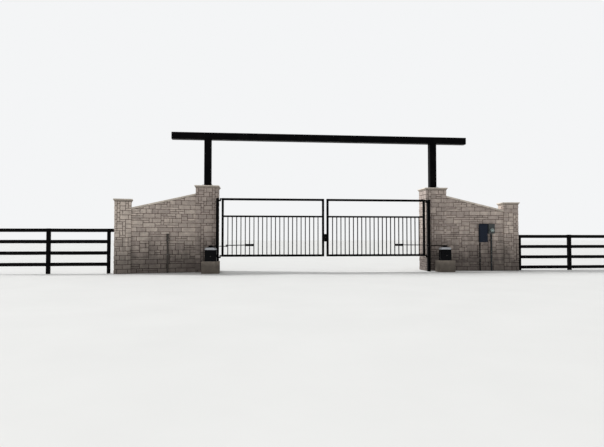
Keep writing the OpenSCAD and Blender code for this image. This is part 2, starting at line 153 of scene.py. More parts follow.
@dataclass
class Surface:
    """Points and faces as arrays: faces are runs of point indices, with each run's length."""

    points: Array
    loops: Array
    sizes: Array
    tones: Array
    finish: Array

    def outward(self) -> "Surface":
        """Turns the faces if they point inwards, which makes the volume inside them negative.

        Returns:
            The surface. The volume is a sixth of the sum of first . (corner x next corner).
        """
        starts = np.repeat(np.cumsum(self.sizes) - self.sizes, self.sizes)
        place, size = np.arange(len(self.loops)) - starts, np.repeat(self.sizes, self.sizes)
        first, here, ahead = (self.points[self.loops[starts + i]] for i in (0, place, (place + 1) % size))
        if (first * np.cross(here, ahead)).sum() >= 0:
            return self
        return replace(self, loops=self.loops[starts + size - 1 - place])

    def placed(self, place: Placement, finish: int = 0) -> "Surface":
        """The surface moved out of a local frame, dressed with a finish unless that is 0."""
        there = replace(self, points=place.out(self.points)).outward()
        return there.dressed(finish) if finish else there

    def moved(self, *shift: float) -> "Surface":
        """The surface moved by a shift."""
        return replace(self, points=self.points + np.array(shift, float))

    def copies(self, shifts: Array, tones: Array | None = None) -> "Surface":
        """Copies of the surface.

        Args:
            shifts: One shift per copy, an array (n, 3).
            tones: One tone per copy, or None to keep the tone.

        Returns:
            All copies in one surface.
        """
        n, k = len(shifts), len(self.points)
        moved = (self.points[None] + np.asarray(shifts, float)[:, None]).reshape(-1, 3)
        loops = (self.loops[None] + k * np.arange(n)[:, None]).ravel()
        tone = np.tile(self.tones, n) if tones is None else np.repeat(tones, k)
        return Surface(moved, loops, np.tile(self.sizes, n), tone, np.tile(self.finish, n))

    def toned(self, tone: float) -> "Surface":
        """The surface with one tone all over."""
        return replace(self, tones=np.full(len(self.points), tone))

    def dressed(self, finish: int) -> "Surface":
        """The surface with another of its piece's finishes."""
        return replace(self, finish=np.full(len(self.sizes), finish))


def join(parts: Iterable[Surface]) -> Surface:
    """Several surfaces as one, with the indices of each shifted past the points before it.

    Args:
        parts: The surfaces.

    Returns:
        One surface.
    """
    parts = list(parts)
    starts = np.cumsum([0] + [len(p.points) for p in parts[:-1]])
    loops = np.concatenate([p.loops + start for p, start in zip(parts, starts)])
    rest = [np.concatenate([getattr(p, name) for p in parts]) for name in ("sizes", "tones", "finish")]
    return Surface(np.concatenate([p.points for p in parts]), loops, *rest)


def grid_faces(rows: int, columns: int) -> Array:
    """Faces (n, 4) between neighbours in a grid of points numbered row by row."""
    at = np.arange(rows * columns).reshape(rows, columns)
    return np.stack([at[:-1, :-1], at[:-1, 1:], at[1:, 1:], at[1:, :-1]], axis=-1).reshape(-1, 4)


def loft(rings: Array, looped: bool = False) -> Surface:
    """A skin over closed rings: each ring is joined to the next one, point to point.

    Args:
        rings: Array (m, k, 3) of m rings with k points each.
        looped: Whether the last ring joins the first, instead of a face closing each end.

    Returns:
        The closed surface, faces outwards.
    """
    m, k, _ = rings.shape
    ring, place = np.divmod(grid_faces(m + looped, k + 1), k + 1)
    quads = (ring % m) * k + place % k
    loops, sizes = quads.ravel(), np.full(len(quads), 4)
    if not looped:
        loops = np.concatenate([loops, np.arange(k)[::-1], np.arange(k) + (m - 1) * k])
        sizes = np.append(sizes, (k, k))
    tones = np.full(m * k, 0.5)
    return Surface(rings.reshape(-1, 3), loops, sizes, tones, np.zeros(len(sizes), int)).outward()


def stacked(outlines: Iterable[Array], heights: Iterable[float]) -> Array:
    """Rings from outlines (k, 2), one at each height."""
    return np.stack([np.column_stack([o, np.full(len(o), z)]) for o, z in zip(outlines, heights)])


def circle(radius: float, sides: int = 24) -> Array:
    """Points of a circle: the radius times the cosine and sine of equal turns."""
    turn = np.linspace(0, 2 * np.pi, sides, endpoint=False)
    return radius * np.stack([np.cos(turn), np.sin(turn)], axis=1)


def rounded_rect(width: float, depth: float, radius: float, steps: int = 4) -> Array:
    """Outline of a rectangle whose corners are quarter circles.

    Args:
        width: Size along the first axis.
        depth: Size along the second axis.
        radius: Radius of the corners.
        steps: Points on each quarter circle.

    Returns:
        Array (4 * steps, 2), counterclockwise.
    """
    centres = np.array([[1, 1], [-1, 1], [-1, -1], [1, -1]]) * (np.array([width, depth]) / 2 - radius)
    turn = np.arange(4)[:, None] * np.pi / 2 + np.linspace(0, np.pi / 2, steps)
    arcs = radius * np.stack([np.cos(turn), np.sin(turn)], axis=-1)
    return (centres[:, None] + arcs).reshape(-1, 2)


def right_of(ways: Array) -> Array:
    """Unit vectors at right angles to directions (n, 2), on their right."""
    return np.stack([ways[:, 1], -ways[:, 0]], axis=1) / np.linalg.norm(ways, axis=1, keepdims=True)


def inset(outline: Array, amount: float) -> Array:
    """An outline moved inwards: each corner goes along the mean of its two edges' normals.

    Args:
        outline: Closed outline, array (k, 2), counterclockwise.
        amount: How far the edges move.

    Returns:
        The new outline.
    """
    normal = right_of(np.roll(outline, -1, axis=0) - outline)
    before = np.roll(normal, 1, axis=0)
    share = 1 + (normal * before).sum(axis=1, keepdims=True)
    return outline - amount * (normal + before) / share


def prism(outline: Array, low: float, high: float, ease: float = 0.002, steps: int = 2) -> Surface:
    """A bar or plate with an outline as its section and quarter-round edges at both ends.

    Args:
        outline: Closed outline, array (k, 2), counterclockwise.
        low: Where it starts along z.
        high: Where it ends along z.
        ease: Radius of the rounded end edges.
        steps: Rings on each rounded edge.

    Returns:
        The closed surface, with the section drawn in by ease * (1 - sin a) at ease * (1 - cos a).
    """
    turn = np.linspace(0, np.pi / 2, steps + 1)
    inwards, rise = ease * (1 - np.sin(turn)), ease * (1 - np.cos(turn))
    outlines = [inset(outline, amount) for amount in (*inwards, *inwards[::-1])]
    return loft(stacked(outlines, (*(low + rise), *(high - rise)[::-1])))


def revolve(profile: Pairs, sides: int = 28, looped: bool = False) -> Surface:
    """A profile of radii and heights turned round z. Looped, it closes on itself round a bore."""
    ring = circle(1.0, sides)
    return loft(stacked([radius * ring for radius, _ in profile], [z for _, z in profile]), looped)


def drum(radius: float, low: float, high: float, ease: float = 0.0015, sides: int = 28) -> Surface:
    """A short cylinder with chamfered rims."""
    return revolve(rim_profile(radius, low, high, ease), sides)


def rim_profile(radius: float, low: float, high: float, ease: float) -> list[tuple[float, float]]:
    """Profile of a round face between two chamfered rims."""
    return [(radius - ease, low), (radius, low + ease), (radius, high - ease), (radius - ease, high)]


def weld_bead(outline: Array, height: float, radius: float = 0.003) -> Surface:
    """A weld round a bar, whose radius ripples along its run, with six points round it.

    Args:
        outline: The bar's closed section, array (k, 2).
        height: Where the bead lies along z.
        radius: Mean radius of the bead.

    Returns:
        Circles square to the outline, of radius * (1 + swing * sin) of the distance run, as one skin.
    """
    ripple, swing, per_ripple = 2.2 * radius, 0.2, 3
    closed = np.vstack([outline, outline[:1]])
    run = np.concatenate([[0], np.cumsum(np.linalg.norm(np.diff(closed, axis=0), axis=1))])
    at = np.linspace(0, run[-1], max(24, int(run[-1] / ripple * per_ripple)), endpoint=False)
    path = np.stack([np.interp(at, run, closed[:, i]) for i in (0, 1)], axis=1)
    side = right_of(np.roll(path, -1, axis=0) - np.roll(path, 1, axis=0))
    radii = radius * (1 + swing * np.sin(2 * np.pi * at / ripple))
    spokes = radii[:, None, None] * circle(1.0, 6)
    flat = path[:, None] + spokes[..., :1] * side[:, None]
    return loft(np.concatenate([flat, height + spokes[..., 1:]], axis=-1), looped=True)


def bolt(across: float, head: float, washer: float = 0.002) -> Surface:
    """A six-sided head on a washer, standing up from z = 0."""
    disc = drum(across * 0.62, 0, washer, washer * 0.3, 18)
    return join([disc, prism(circle(across / 2, 6), washer, washer + head, across * 0.05, 1)])


class Nodes:
    """Short calls that lay out the nodes of a material or of the world."""

    def __init__(self, tree: bpy.types.NodeTree) -> None:
        """Empties a node tree to start with."""
        self.tree = tree
        tree.nodes.clear()

    def add(
        self, kind: str, inputs: Mapping[int | str, object] | None = None, **settings: object
    ) -> bpy.types.Node:
        """Adds a node.

        Args:
            kind: Blender's name for it, without the word that all such names start with.
            inputs: For each input, the socket to link or the value to set.
            settings: The node's own properties.

        Returns:
            The node.
        """
        node = self.tree.nodes.new(f"ShaderNode{kind}")
        for key, value in settings.items():
            setattr(node, key, value)
        for key, value in (inputs or {}).items():
            if isinstance(value, Socket):
                self.tree.links.new(value, node.inputs[key])
            else:
                node.inputs[key].default_value = value
        return node

    def tone(self) -> Socket:
        """The tone of the stone, board or part that a point belongs to."""
        return self.add("Attribute", attribute_name=TONE).outputs[2]

    def split(self, vector: Socket) -> bpy.types.bpy_prop_collection:
        """The three numbers of a vector."""
        return self.add("SeparateXYZ", {0: vector}).outputs

    def where(self, scale: Sequence[float] = (1, 1, 1), apart: float = 0.0) -> Socket:
        """Object coordinates.

        Args:
            scale: Stretch along each axis.
            apart: How far parts of unlike tone lie apart in the pattern.

        Returns:
            A vector socket.
        """
        place = self.add("TexCoord").outputs["Object"]
        mapped = self.add("Mapping", {"Vector": place, "Scale": scale}).outputs[0]
        if not apart:
            return mapped
        shift = self.calc("MULTIPLY", self.tone(), apart)
        return self.add("VectorMath", {0: mapped, 1: shift}, operation="ADD").outputs[0]

    def noise(self, where: Socket, scale: float, detail: float = 4.0, rough: float = 0.55) -> Socket:
        """Cloudy noise between 0 and 1, with a scale in features per metre."""
        inputs = {"Vector": where, "Scale": scale, "Detail": detail, "Roughness": rough}
        return self.add("TexNoise", inputs).outputs[0]

    def calc(self, operation: str, first: object, second: object) -> Socket:
        """One step of arithmetic."""
        return self.add("Math", {0: first, 1: second}, operation=operation).outputs[0]

    def spread(
        self, value: object, low: float, high: float, start: float = 0.3, end: float = 0.7
    ) -> Socket:
        """Maps a value from start..end to low..high, and holds it there."""
        return self.add("MapRange", dict(enumerate((value, start, end, low, high)))).outputs[0]

    def ramp(self, value: object, colours: Sequence[Colour]) -> Socket:
        """A colour that goes through evenly spaced colours as a value goes from 0 to 1.

        Args:
            value: The value socket.
            colours: Two colours or more.

        Returns:
            A colour socket.
        """
        node = self.add("ValToRGB", {0: value})
        elements = node.color_ramp.elements
        elements.remove(elements[1])
        elements[0].color = linear(colours[0])
        for number, colour in enumerate(colours[1:], 1):
            elements.new(number / (len(colours) - 1)).color = linear(colour)
        return node.outputs[0]

    def blend(self, factor: object, first: object, second: object, mode: str = "MIX") -> Socket:
        """The first colour with a factor's share of the second, in one of Blender's ways of mixing."""
        inputs = {0: factor, 6: first, 7: second}
        return self.add("Mix", inputs, data_type="RGBA", blend_type=mode).outputs[2]

    def darken(self, colour: object, *amounts: object) -> object:
        """A colour multiplied by the grey of each value socket in turn."""
        for amount in amounts:
            colour = self.blend(1.0, colour, amount, "MULTIPLY")
        return colour

    def bump(self, *layers: tuple[object, float]) -> Socket:
        """A normal from relief in layers.

        Args:
            layers: Pairs of a height socket and a depth in metres.

        Returns:
            The normal's socket.
        """
        below: dict[str, Socket] = {}
        for height, depth in layers:
            node = self.add("Bump", {"Distance": depth, "Height": height, **below})
            below = {"Normal": node.outputs[0]}
        return node.outputs[0]


def linear(colour: Colour) -> tuple[float, float, float, float]:
    """Turns a colour's three numbers, up to 255, into the four linear values that shaders take."""
    share = [number / 255 for number in colour]
    return (*(v / 12.92 if v <= 0.04045 else ((v + 0.055) / 1.055) ** 2.4 for v in share), 1.0)


@dataclass(frozen=True)
class Finish:
    """A finish that pieces share. Each kind lays out its own nodes in look."""

    name: str

    def material(self) -> bpy.types.Material:
        """Makes the finish's material at its first use.

        Returns:
            The material.
        """
        name = f"{self.name}_finish"
        found = bpy.data.materials.get(name)
        if found is None:
            found = bpy.data.materials.new(name)
            found.use_nodes = True
            nodes = Nodes(found.node_tree)
            shader = nodes.add("BsdfPrincipled", self.look(nodes))
            nodes.add("OutputMaterial", {0: shader.outputs[0]})
        return found

    def look(self, nodes: Nodes) -> dict[str, object]:
        """Lays out the nodes, and gives the socket or value of each of the shader's inputs."""
        raise NotImplementedError


@dataclass(frozen=True)
class MasonryFinish(Finish):
    """Stone, mortar or concrete: a tone for each stone, mottling, specks, and darker towards the bottom."""

    tones: tuple[Colour, ...]
    mottle: float = 0.12
    speck: float = 0.10
    soil: float = 0.62
    soil_low: float = 0.40
    soil_high: float = 1.45
    soil_sway: float = 0.35
    apart: float = 7.0
    pit_depth: float = 0.010
    grain_depth: float = 0.003

    def look(self, nodes: Nodes) -> dict[str, object]:
        """Picks the colour by the tone, varies it by three noises and makes it darker towards the bottom.

        Args:
            nodes: The material's nodes.

        Returns:
            What feeds the shader.
        """
        where = nodes.where(apart=self.apart)
        cloud = nodes.noise(where, 5.0, 5.0)
        speck = nodes.noise(where, 95.0, 3.0, 0.7)
        coarse = nodes.noise(where, 22.0, 6.0, 0.65)
        pick = nodes.calc("ADD", nodes.tone(), nodes.spread(cloud, -0.12, 0.12))
        streaks = nodes.noise(nodes.where((2.0, 2.0, 0.4)), 2.5, 5.0, 0.6)
        sway = nodes.spread(streaks, -self.soil_sway, self.soil_sway)
        height = nodes.calc("ADD", nodes.split(nodes.where())[2], sway)
        colour = nodes.darken(
            nodes.ramp(pick, self.tones),
            nodes.spread(cloud, 1 - self.mottle, 1 + self.mottle),
            nodes.spread(coarse, 1 - self.speck, 1 + self.speck),
            nodes.spread(speck, 1 - self.speck, 1 + self.speck),
            # Darker towards the bottom, up to a height that sways along the wall.
            nodes.spread(height, 1 - self.soil, 1.0, self.soil_low, self.soil_high),
        )
        return {
            "Base Color": colour,
            "Roughness": nodes.spread(coarse, 0.82, 0.96),
            "Specular IOR Level": 0.25,
            "Normal": nodes.bump((coarse, self.pit_depth), (speck, self.grain_depth)),
        }


@dataclass(frozen=True)
class PaintFinish(Finish):
    """Painted, powder-coated or galvanised metal and moulded plastic, with a thin coat of dust."""

    colour: Colour
    gloss_low: float = 0.30
    gloss_high: float = 0.48
    dust_share: float = 0.05
    shine: float = 0.03
    dust: Colour = (70, 65, 58)
    metal: float = 0.0
    peel: float = 0.0003
    peel_scale: float = 260.0
    wave: float = 0.0
    coat: float = 0.0
    coat_rough: float = 0.12

    def look(self, nodes: Nodes) -> dict[str, object]:
        """Lays dust in clouds and where the surface looks up, and makes the paint duller there.

        Args:
            nodes: The material's nodes.

        Returns:
            What feeds the shader.
        """
        where = nodes.where(apart=3.0)
        cloud = nodes.noise(where, 3.2, 6.0, 0.62)
        fine = nodes.noise(where, 46.0, 4.0, 0.6)
        normal = nodes.add("NewGeometry").outputs["Normal"]
        up = nodes.spread(nodes.split(normal)[2], 0.0, 1.2, 0.35, 1.0)
        lie = nodes.calc("ADD", nodes.spread(cloud, 0.0, 1.0, 0.42, 0.72), up)
        patchy = nodes.calc("MULTIPLY", lie, nodes.spread(fine, 0.5, 1.2))
        share = nodes.calc("MULTIPLY", patchy, self.dust_share)
        colour = nodes.blend(share, linear(self.colour), linear(self.dust))
        gloss = nodes.spread(cloud, self.gloss_low, self.gloss_high)
        waves = [(nodes.noise(where, 4.0, 2.0), self.wave)] if self.wave else []
        return {
            "Base Color": nodes.darken(colour, nodes.spread(fine, 0.88, 1.1)),
            "Roughness": nodes.calc("ADD", gloss, nodes.calc("MULTIPLY", share, 0.5)),
            "Metallic": self.metal,
            "Specular IOR Level": self.shine,
            "Coat Weight": self.coat,
            "Coat Roughness": self.coat_rough,
            "Normal": nodes.bump(*waves, (nodes.noise(where, self.peel_scale, 2.0), self.peel)),
        }


@dataclass(frozen=True)
class TimberFinish(Finish):
    """Black stain on sawn timber: long grain streaks, worn paler on the ridges."""

    grain: Axis
    dark: Colour = (7, 6, 7)
    pale: Colour = (24, 22, 21)
    stretch: float = 0.035

    def look(self, nodes: Nodes) -> dict[str, object]:
        """Draws noise out along the grain for the streaks, with finer noise for the fibres.

        Args:
            nodes: The material's nodes.

        Returns:
            What feeds the shader.
        """
        along = np.asarray(self.grain.value[2], float)
        where = nodes.where((1 - along * (1 - self.stretch)).tolist(), apart=9.0)
        streak = nodes.noise(where, 38.0, 6.0, 0.6)
        fibre = nodes.noise(where, 210.0, 3.0, 0.7)
        patch = nodes.noise(nodes.where(apart=5.0), 2.6, 4.0)
        ridges = nodes.spread(streak, 0.0, 1.0, 0.45, 0.8)
        worn = nodes.calc("MULTIPLY", ridges, nodes.spread(patch, 0.25, 1.0))
        colour = nodes.blend(worn, linear(self.dark), linear(self.pale))
        return {
            "Base Color": nodes.darken(colour, nodes.spread(fibre, 0.8, 1.15)),
            "Roughness": nodes.spread(streak, 0.55, 0.85),
            "Specular IOR Level": 0.06,
            "Normal": nodes.bump((streak, 0.0016), (fibre, 0.0006)),
        }


@dataclass(frozen=True)
class GlassFinish(Finish):
    """Clear moulded glass with a film of dust."""

    tint: Colour = (226, 236, 234)

    def look(self, nodes: Nodes) -> dict[str, object]:
        """Makes the glass duller in clouds of dust.

        Args:
            nodes: The material's nodes.

        Returns:
            What feeds the shader.
        """
        film = nodes.noise(nodes.where(), 60.0, 5.0)
        return {
            "Base Color": linear(self.tint),
            "Roughness": nodes.spread(film, 0.02, 0.14, 0.5, 0.8),
            "Transmission Weight": 0.92,
            "IOR": 1.46,
            "Normal": nodes.bump((film, 0.0001)),
        }


@dataclass(frozen=True)
class FloorFinish(Finish):
    """A plain pale floor, a little uneven in its colour."""

    pale: Colour = (228, 228, 226)

    def look(self, nodes: Nodes) -> dict[str, object]:
        """Varies the colour and the gloss by one faint noise.

        Args:
            nodes: The material's nodes.

        Returns:
            What feeds the shader.
        """
        cloud = nodes.noise(nodes.where(), 0.7, 4.0)
        return {
            "Base Color": nodes.darken(linear(self.pale), nodes.spread(cloud, 0.97, 1.0)),
            "Roughness": nodes.spread(cloud, 0.8, 0.9),
            "Specular IOR Level": 0.1,
        }


STONE_TONES = (
    (146, 135, 128), (157, 145, 137), (166, 154, 146), (174, 161, 153),
    (182, 169, 160), (192, 179, 169), (206, 193, 182),
)
HEWN = {"soil": 0.0, "pit_depth": 0.004, "grain_depth": 0.002}
CAST = {"soil": 0.34, "soil_low": 0.24, "soil_high": 0.39, "soil_sway": 0.06}
WALL_STONE = MasonryFinish("wall_stone", STONE_TONES)
MORTAR = MasonryFinish("mortar", ((72, 58, 53), (88, 72, 66)), speck=0.16, pit_depth=0.003)
CAP_STONE = MasonryFinish("cap_stone", ((204, 194, 182), (220, 210, 197)), mottle=0.10, **HEWN)
# Darker stone for the foot and cove of each cap: painted shade under the overhang.
CAP_PAINTED_SHADE = MasonryFinish("cap_foot", ((142, 133, 124), (156, 146, 136)), **HEWN)
CONCRETE = MasonryFinish(
    "pad_concrete", ((122, 114, 105), (136, 127, 117)), pit_depth=0.002, grain_depth=0.001, **CAST
)
GATE_BLACK = PaintFinish("gate_black", (7, 8, 9))
ARM_BLACK = PaintFinish("arm_black", (8, 8, 9), 0.28, 0.5)
BEAM_BLACK = PaintFinish("beam_black", (8, 8, 10), wave=0.004)
WELD = PaintFinish("weld_black", (9, 9, 10), 0.38, 0.6, peel_scale=500.0)
BOLT_STEEL = PaintFinish("bolt_steel", (104, 102, 99), 0.34, 0.55, 0.3, 0.4, metal=0.85)
SHELL_BLACK = PaintFinish("shell_black", (5, 6, 9), 0.16, 0.26, 0.02, peel=0.0002, coat=0.10)
# Pale band for the operators' shoulders: painted glare, the bright sky reflected on the glossy black case.
SHELL_PAINTED_GLARE = PaintFinish("shell_band", (190, 192, 197), 0.25, 0.4, 0.2, 0.3, coat=0.3)
SHELL_LID = PaintFinish("shell_lid", (8, 9, 10), 0.28, 0.42)
PANEL_SLATE = PaintFinish("panel_slate", (40, 46, 58), 0.36, 0.52)
SOCKET_GREY = PaintFinish("socket_grey", (86, 90, 90), 0.4, 0.6, 0.2)
CONDUIT_GREY = PaintFinish("conduit_grey", (58, 60, 62), 0.42, 0.6, 0.25)
CONDUIT_DARK = PaintFinish("conduit_dark", (24, 25, 28), 0.4, 0.6, 0.2)
RISER_BROWN = PaintFinish("riser_brown", (82, 77, 73), 0.5, 0.7, 0.3)
DIAL_PALE = PaintFinish("dial_pale", (205, 208, 204), 0.4, 0.5)
RUBBER = PaintFinish("rubber_black", (10, 10, 10), 0.6, 0.8)
METER_GLASS = GlassFinish("meter_glass")
BOARD = TimberFinish("board_black", Axis.X)
POST_TIMBER = TimberFinish("post_black", Axis.Z)
STEELWORK = (GATE_BLACK, WELD, BOLT_STEEL)


def stand(name: str, data: bpy.types.ID) -> bpy.types.Object:
    """Puts an object at the scene's origin.

    Args:
        name: Its name.
        data: Its mesh, lamp or camera.

    Returns:
        The object.
    """
    thing = bpy.data.objects.new(name, data)
    bpy.context.scene.collection.objects.link(thing)
    return thing


@dataclass
class Piece:
    """A finished piece and how it joins the frame. It stands for one node, or is added to them."""

    name: str
    slot: str
    surface: Surface
    finishes: tuple[Finish, ...]
    replaces: str = ""
    body: str = "gateway"

    def put(self) -> None:
        """Makes the mesh and its object, at the origin, and ties it to the frame."""
        shape = self.surface
        mesh = bpy.data.meshes.new(self.name)
        mesh.vertices.add(len(shape.points))
        mesh.vertices.foreach_set("co", shape.points.astype(np.float32).ravel())
        mesh.loops.add(len(shape.loops))
        mesh.loops.foreach_set("vertex_index", shape.loops.astype(np.int32))
        mesh.polygons.add(len(shape.sizes))
        starts = np.cumsum(shape.sizes) - shape.sizes
        mesh.polygons.foreach_set("loop_start", starts.astype(np.int32))
        mesh.polygons.foreach_set("material_index", shape.finish.astype(np.int32))
        mesh.polygons.foreach_set("use_smooth", np.ones(len(shape.sizes), bool))
        mesh.update(calc_edges=True)
        mesh.validate()
        mesh.set_sharp_from_angle(angle=SHARP_ANGLE)
        tones = mesh.attributes.new(TONE, "FLOAT", "POINT")
        tones.data.foreach_set("value", shape.tones.astype(np.float32))
        for finish in self.finishes:
            mesh.materials.append(finish.material())
        thing = stand(self.name, mesh)
        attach(thing, self.body)
        if self.replaces:
            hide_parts(self.replaces)


def dress_node(node: str, finish: Finish) -> None:
    """Gives a frame node whose shape is right a finish in place of its plain one.

    Args:
        node: Its name.
        finish: The finish.
    """
    materials = frame["nodes"][node].data.materials
    materials.clear()
    materials.append(finish.material())


@dataclass(frozen=True)
class AshlarPattern:
    """Roughly coursed ashlar: stones of whole modules, most of them two rows high."""

    seed: int
    kinds: tuple[tuple[int, int], ...] = (
        (4, 2), (3, 2), (5, 2), (6, 2), (2, 2), (4, 1), (5, 1), (3, 1), (6, 1), (2, 1), (3, 3), (4, 3),
    )
    odds: tuple[int, ...] = (14, 13, 11, 6, 7, 14, 12, 11, 8, 5, 3, 2)
    off_course: float = 0.3
    spare: tuple[tuple[int, int], ...] = ((2, 1), (1, 2), (1, 1))

    def lay(self, usable: Array, corners: Sequence[int] = ()) -> Array:
        """Fills a grid of modules with stones.

        Args:
            usable: Array (rows, columns), False where no stone goes.
            corners: Columns at which a corner starts. They make the grid run round, and no joint
                comes to lie on one.

        Returns:
            Array (n, 4) of each stone's first column and row, and its columns and rows.
        """
        draw = np.random.default_rng(self.seed)
        rows, columns = usable.shape
        owner = np.where(usable, -1, -2)
        laid: list[tuple[int, int, int, int]] = []
        high_rows = np.array(self.kinds)[:, 1]
        for row in range(rows):
            share = np.array(self.odds) * np.where((row + high_rows) % 2, self.off_course, 1.0)
            share /= share.sum()
            start = 1 + int(draw.integers(columns // 4 - 1)) if corners else 0
            for step in range(columns):
                column = (start + step) % columns
                if owner[row, column] != -1:
                    continue
                picks = [self.kinds[i] for i in draw.choice(len(share), len(share), False, share)]
                wide, high = self._fitting(owner, row, column, [*picks, *self.spare], corners)
                owner[row : row + high, (column + np.arange(wide)) % columns] = len(laid)
                laid.append((column, row, wide, high))
        return np.array(laid)

    @staticmethod
    def _fitting(
        owner: Array, row: int, column: int, picks: list[tuple[int, int]], corners: Sequence[int]
    ) -> tuple[int, int]:
        """The first pick that fits, if it can be without a joint above a joint or a thin gap after it.

        Args:
            owner: Number of the stone in each module, -1 where it is free.
            row: Row of the stone's lower edge.
            column: Column of its left edge.
            picks: Sizes in the order in which they are tried.
            corners: Columns that no joint may lie on.

        Returns:
            Columns and rows of the stone.
        """
        rows, columns = owner.shape
        for care in (2, 1, 0):
            for wide, high in picks:
                end = column + wide
                if row + high > rows or (not corners and end > columns) or end % columns in corners:
                    continue
                spans = (column + np.arange(wide)) % columns
                if (owner[row : row + high][:, spans] != -1).any():
                    continue
                here, ahead, beyond = (end - 1) % columns, end % columns, (end + 1) % columns
                inside = bool(corners) or end < columns
                closed = owner[row, beyond] != -1 or (not corners and end + 1 >= columns)
                sliver = inside and owner[row, ahead] == -1 and closed
                over_joint = inside and row > 0 and owner[row - 1, ahead] != owner[row - 1, here]
                if (care > 0 and sliver) or (care > 1 and over_joint):
                    continue
                return wide, high
        return 1, 1


@dataclass(frozen=True)
class Perimeter:
    """The four sides of a pillar as one strip, starting at its near left corner. Its top is level."""

    width: float
    depth: float
    line: ClassVar[None] = None

    @property
    def corners(self) -> Array:
        """Distances along the strip at which it turns."""
        return np.cumsum([self.width, self.depth] * 2)

    def place(self, s: Array, z: Array, out: Array) -> Array:
        """Points on the strip: x and y are sums of clipped runs along the sides.

        Args:
            s: Distances along the strip.
            z: Heights.
            out: Distances out from the face, along the normals of every side a point lies on.

        Returns:
            Points in the pillar's frame.
        """
        a, b = self.width, self.depth
        near = 1e-6
        u = np.mod(s, 2 * (a + b))
        u = np.where(u > 2 * (a + b) - near, 0.0, u)
        x = np.clip(u, 0, a) - np.clip(u - a - b, 0, a)
        y = np.clip(u - a, 0, b) - np.clip(u - 2 * a - b, 0, b)
        front, right = u < a + near, (u > a - near) & (u < a + b + near)
        back = (u > a + b - near) & (u < 2 * a + b + near)
        left = (u > 2 * a + b - near) | (u < near)
        x = x + out * (right.astype(float) - left)
        y = y + out * (back.astype(float) - front)
        return np.stack([x, y, np.broadcast_to(z, x.shape)], axis=-1)


@dataclass(frozen=True)
class FlatFace:
    """One face of a wing wall, with the height of its sloping top at a distance along it."""

    y: float
    way: int
    line: Line
    corners: ClassVar[Array] = np.zeros(0)

    def place(self, s: Array, z: Array, out: Array) -> Array:
        """Points at a distance s along the wall, a height z and a distance out from the face."""
        return np.stack([s, self.y + self.way * out, np.broadcast_to(z, s.shape)], axis=-1)


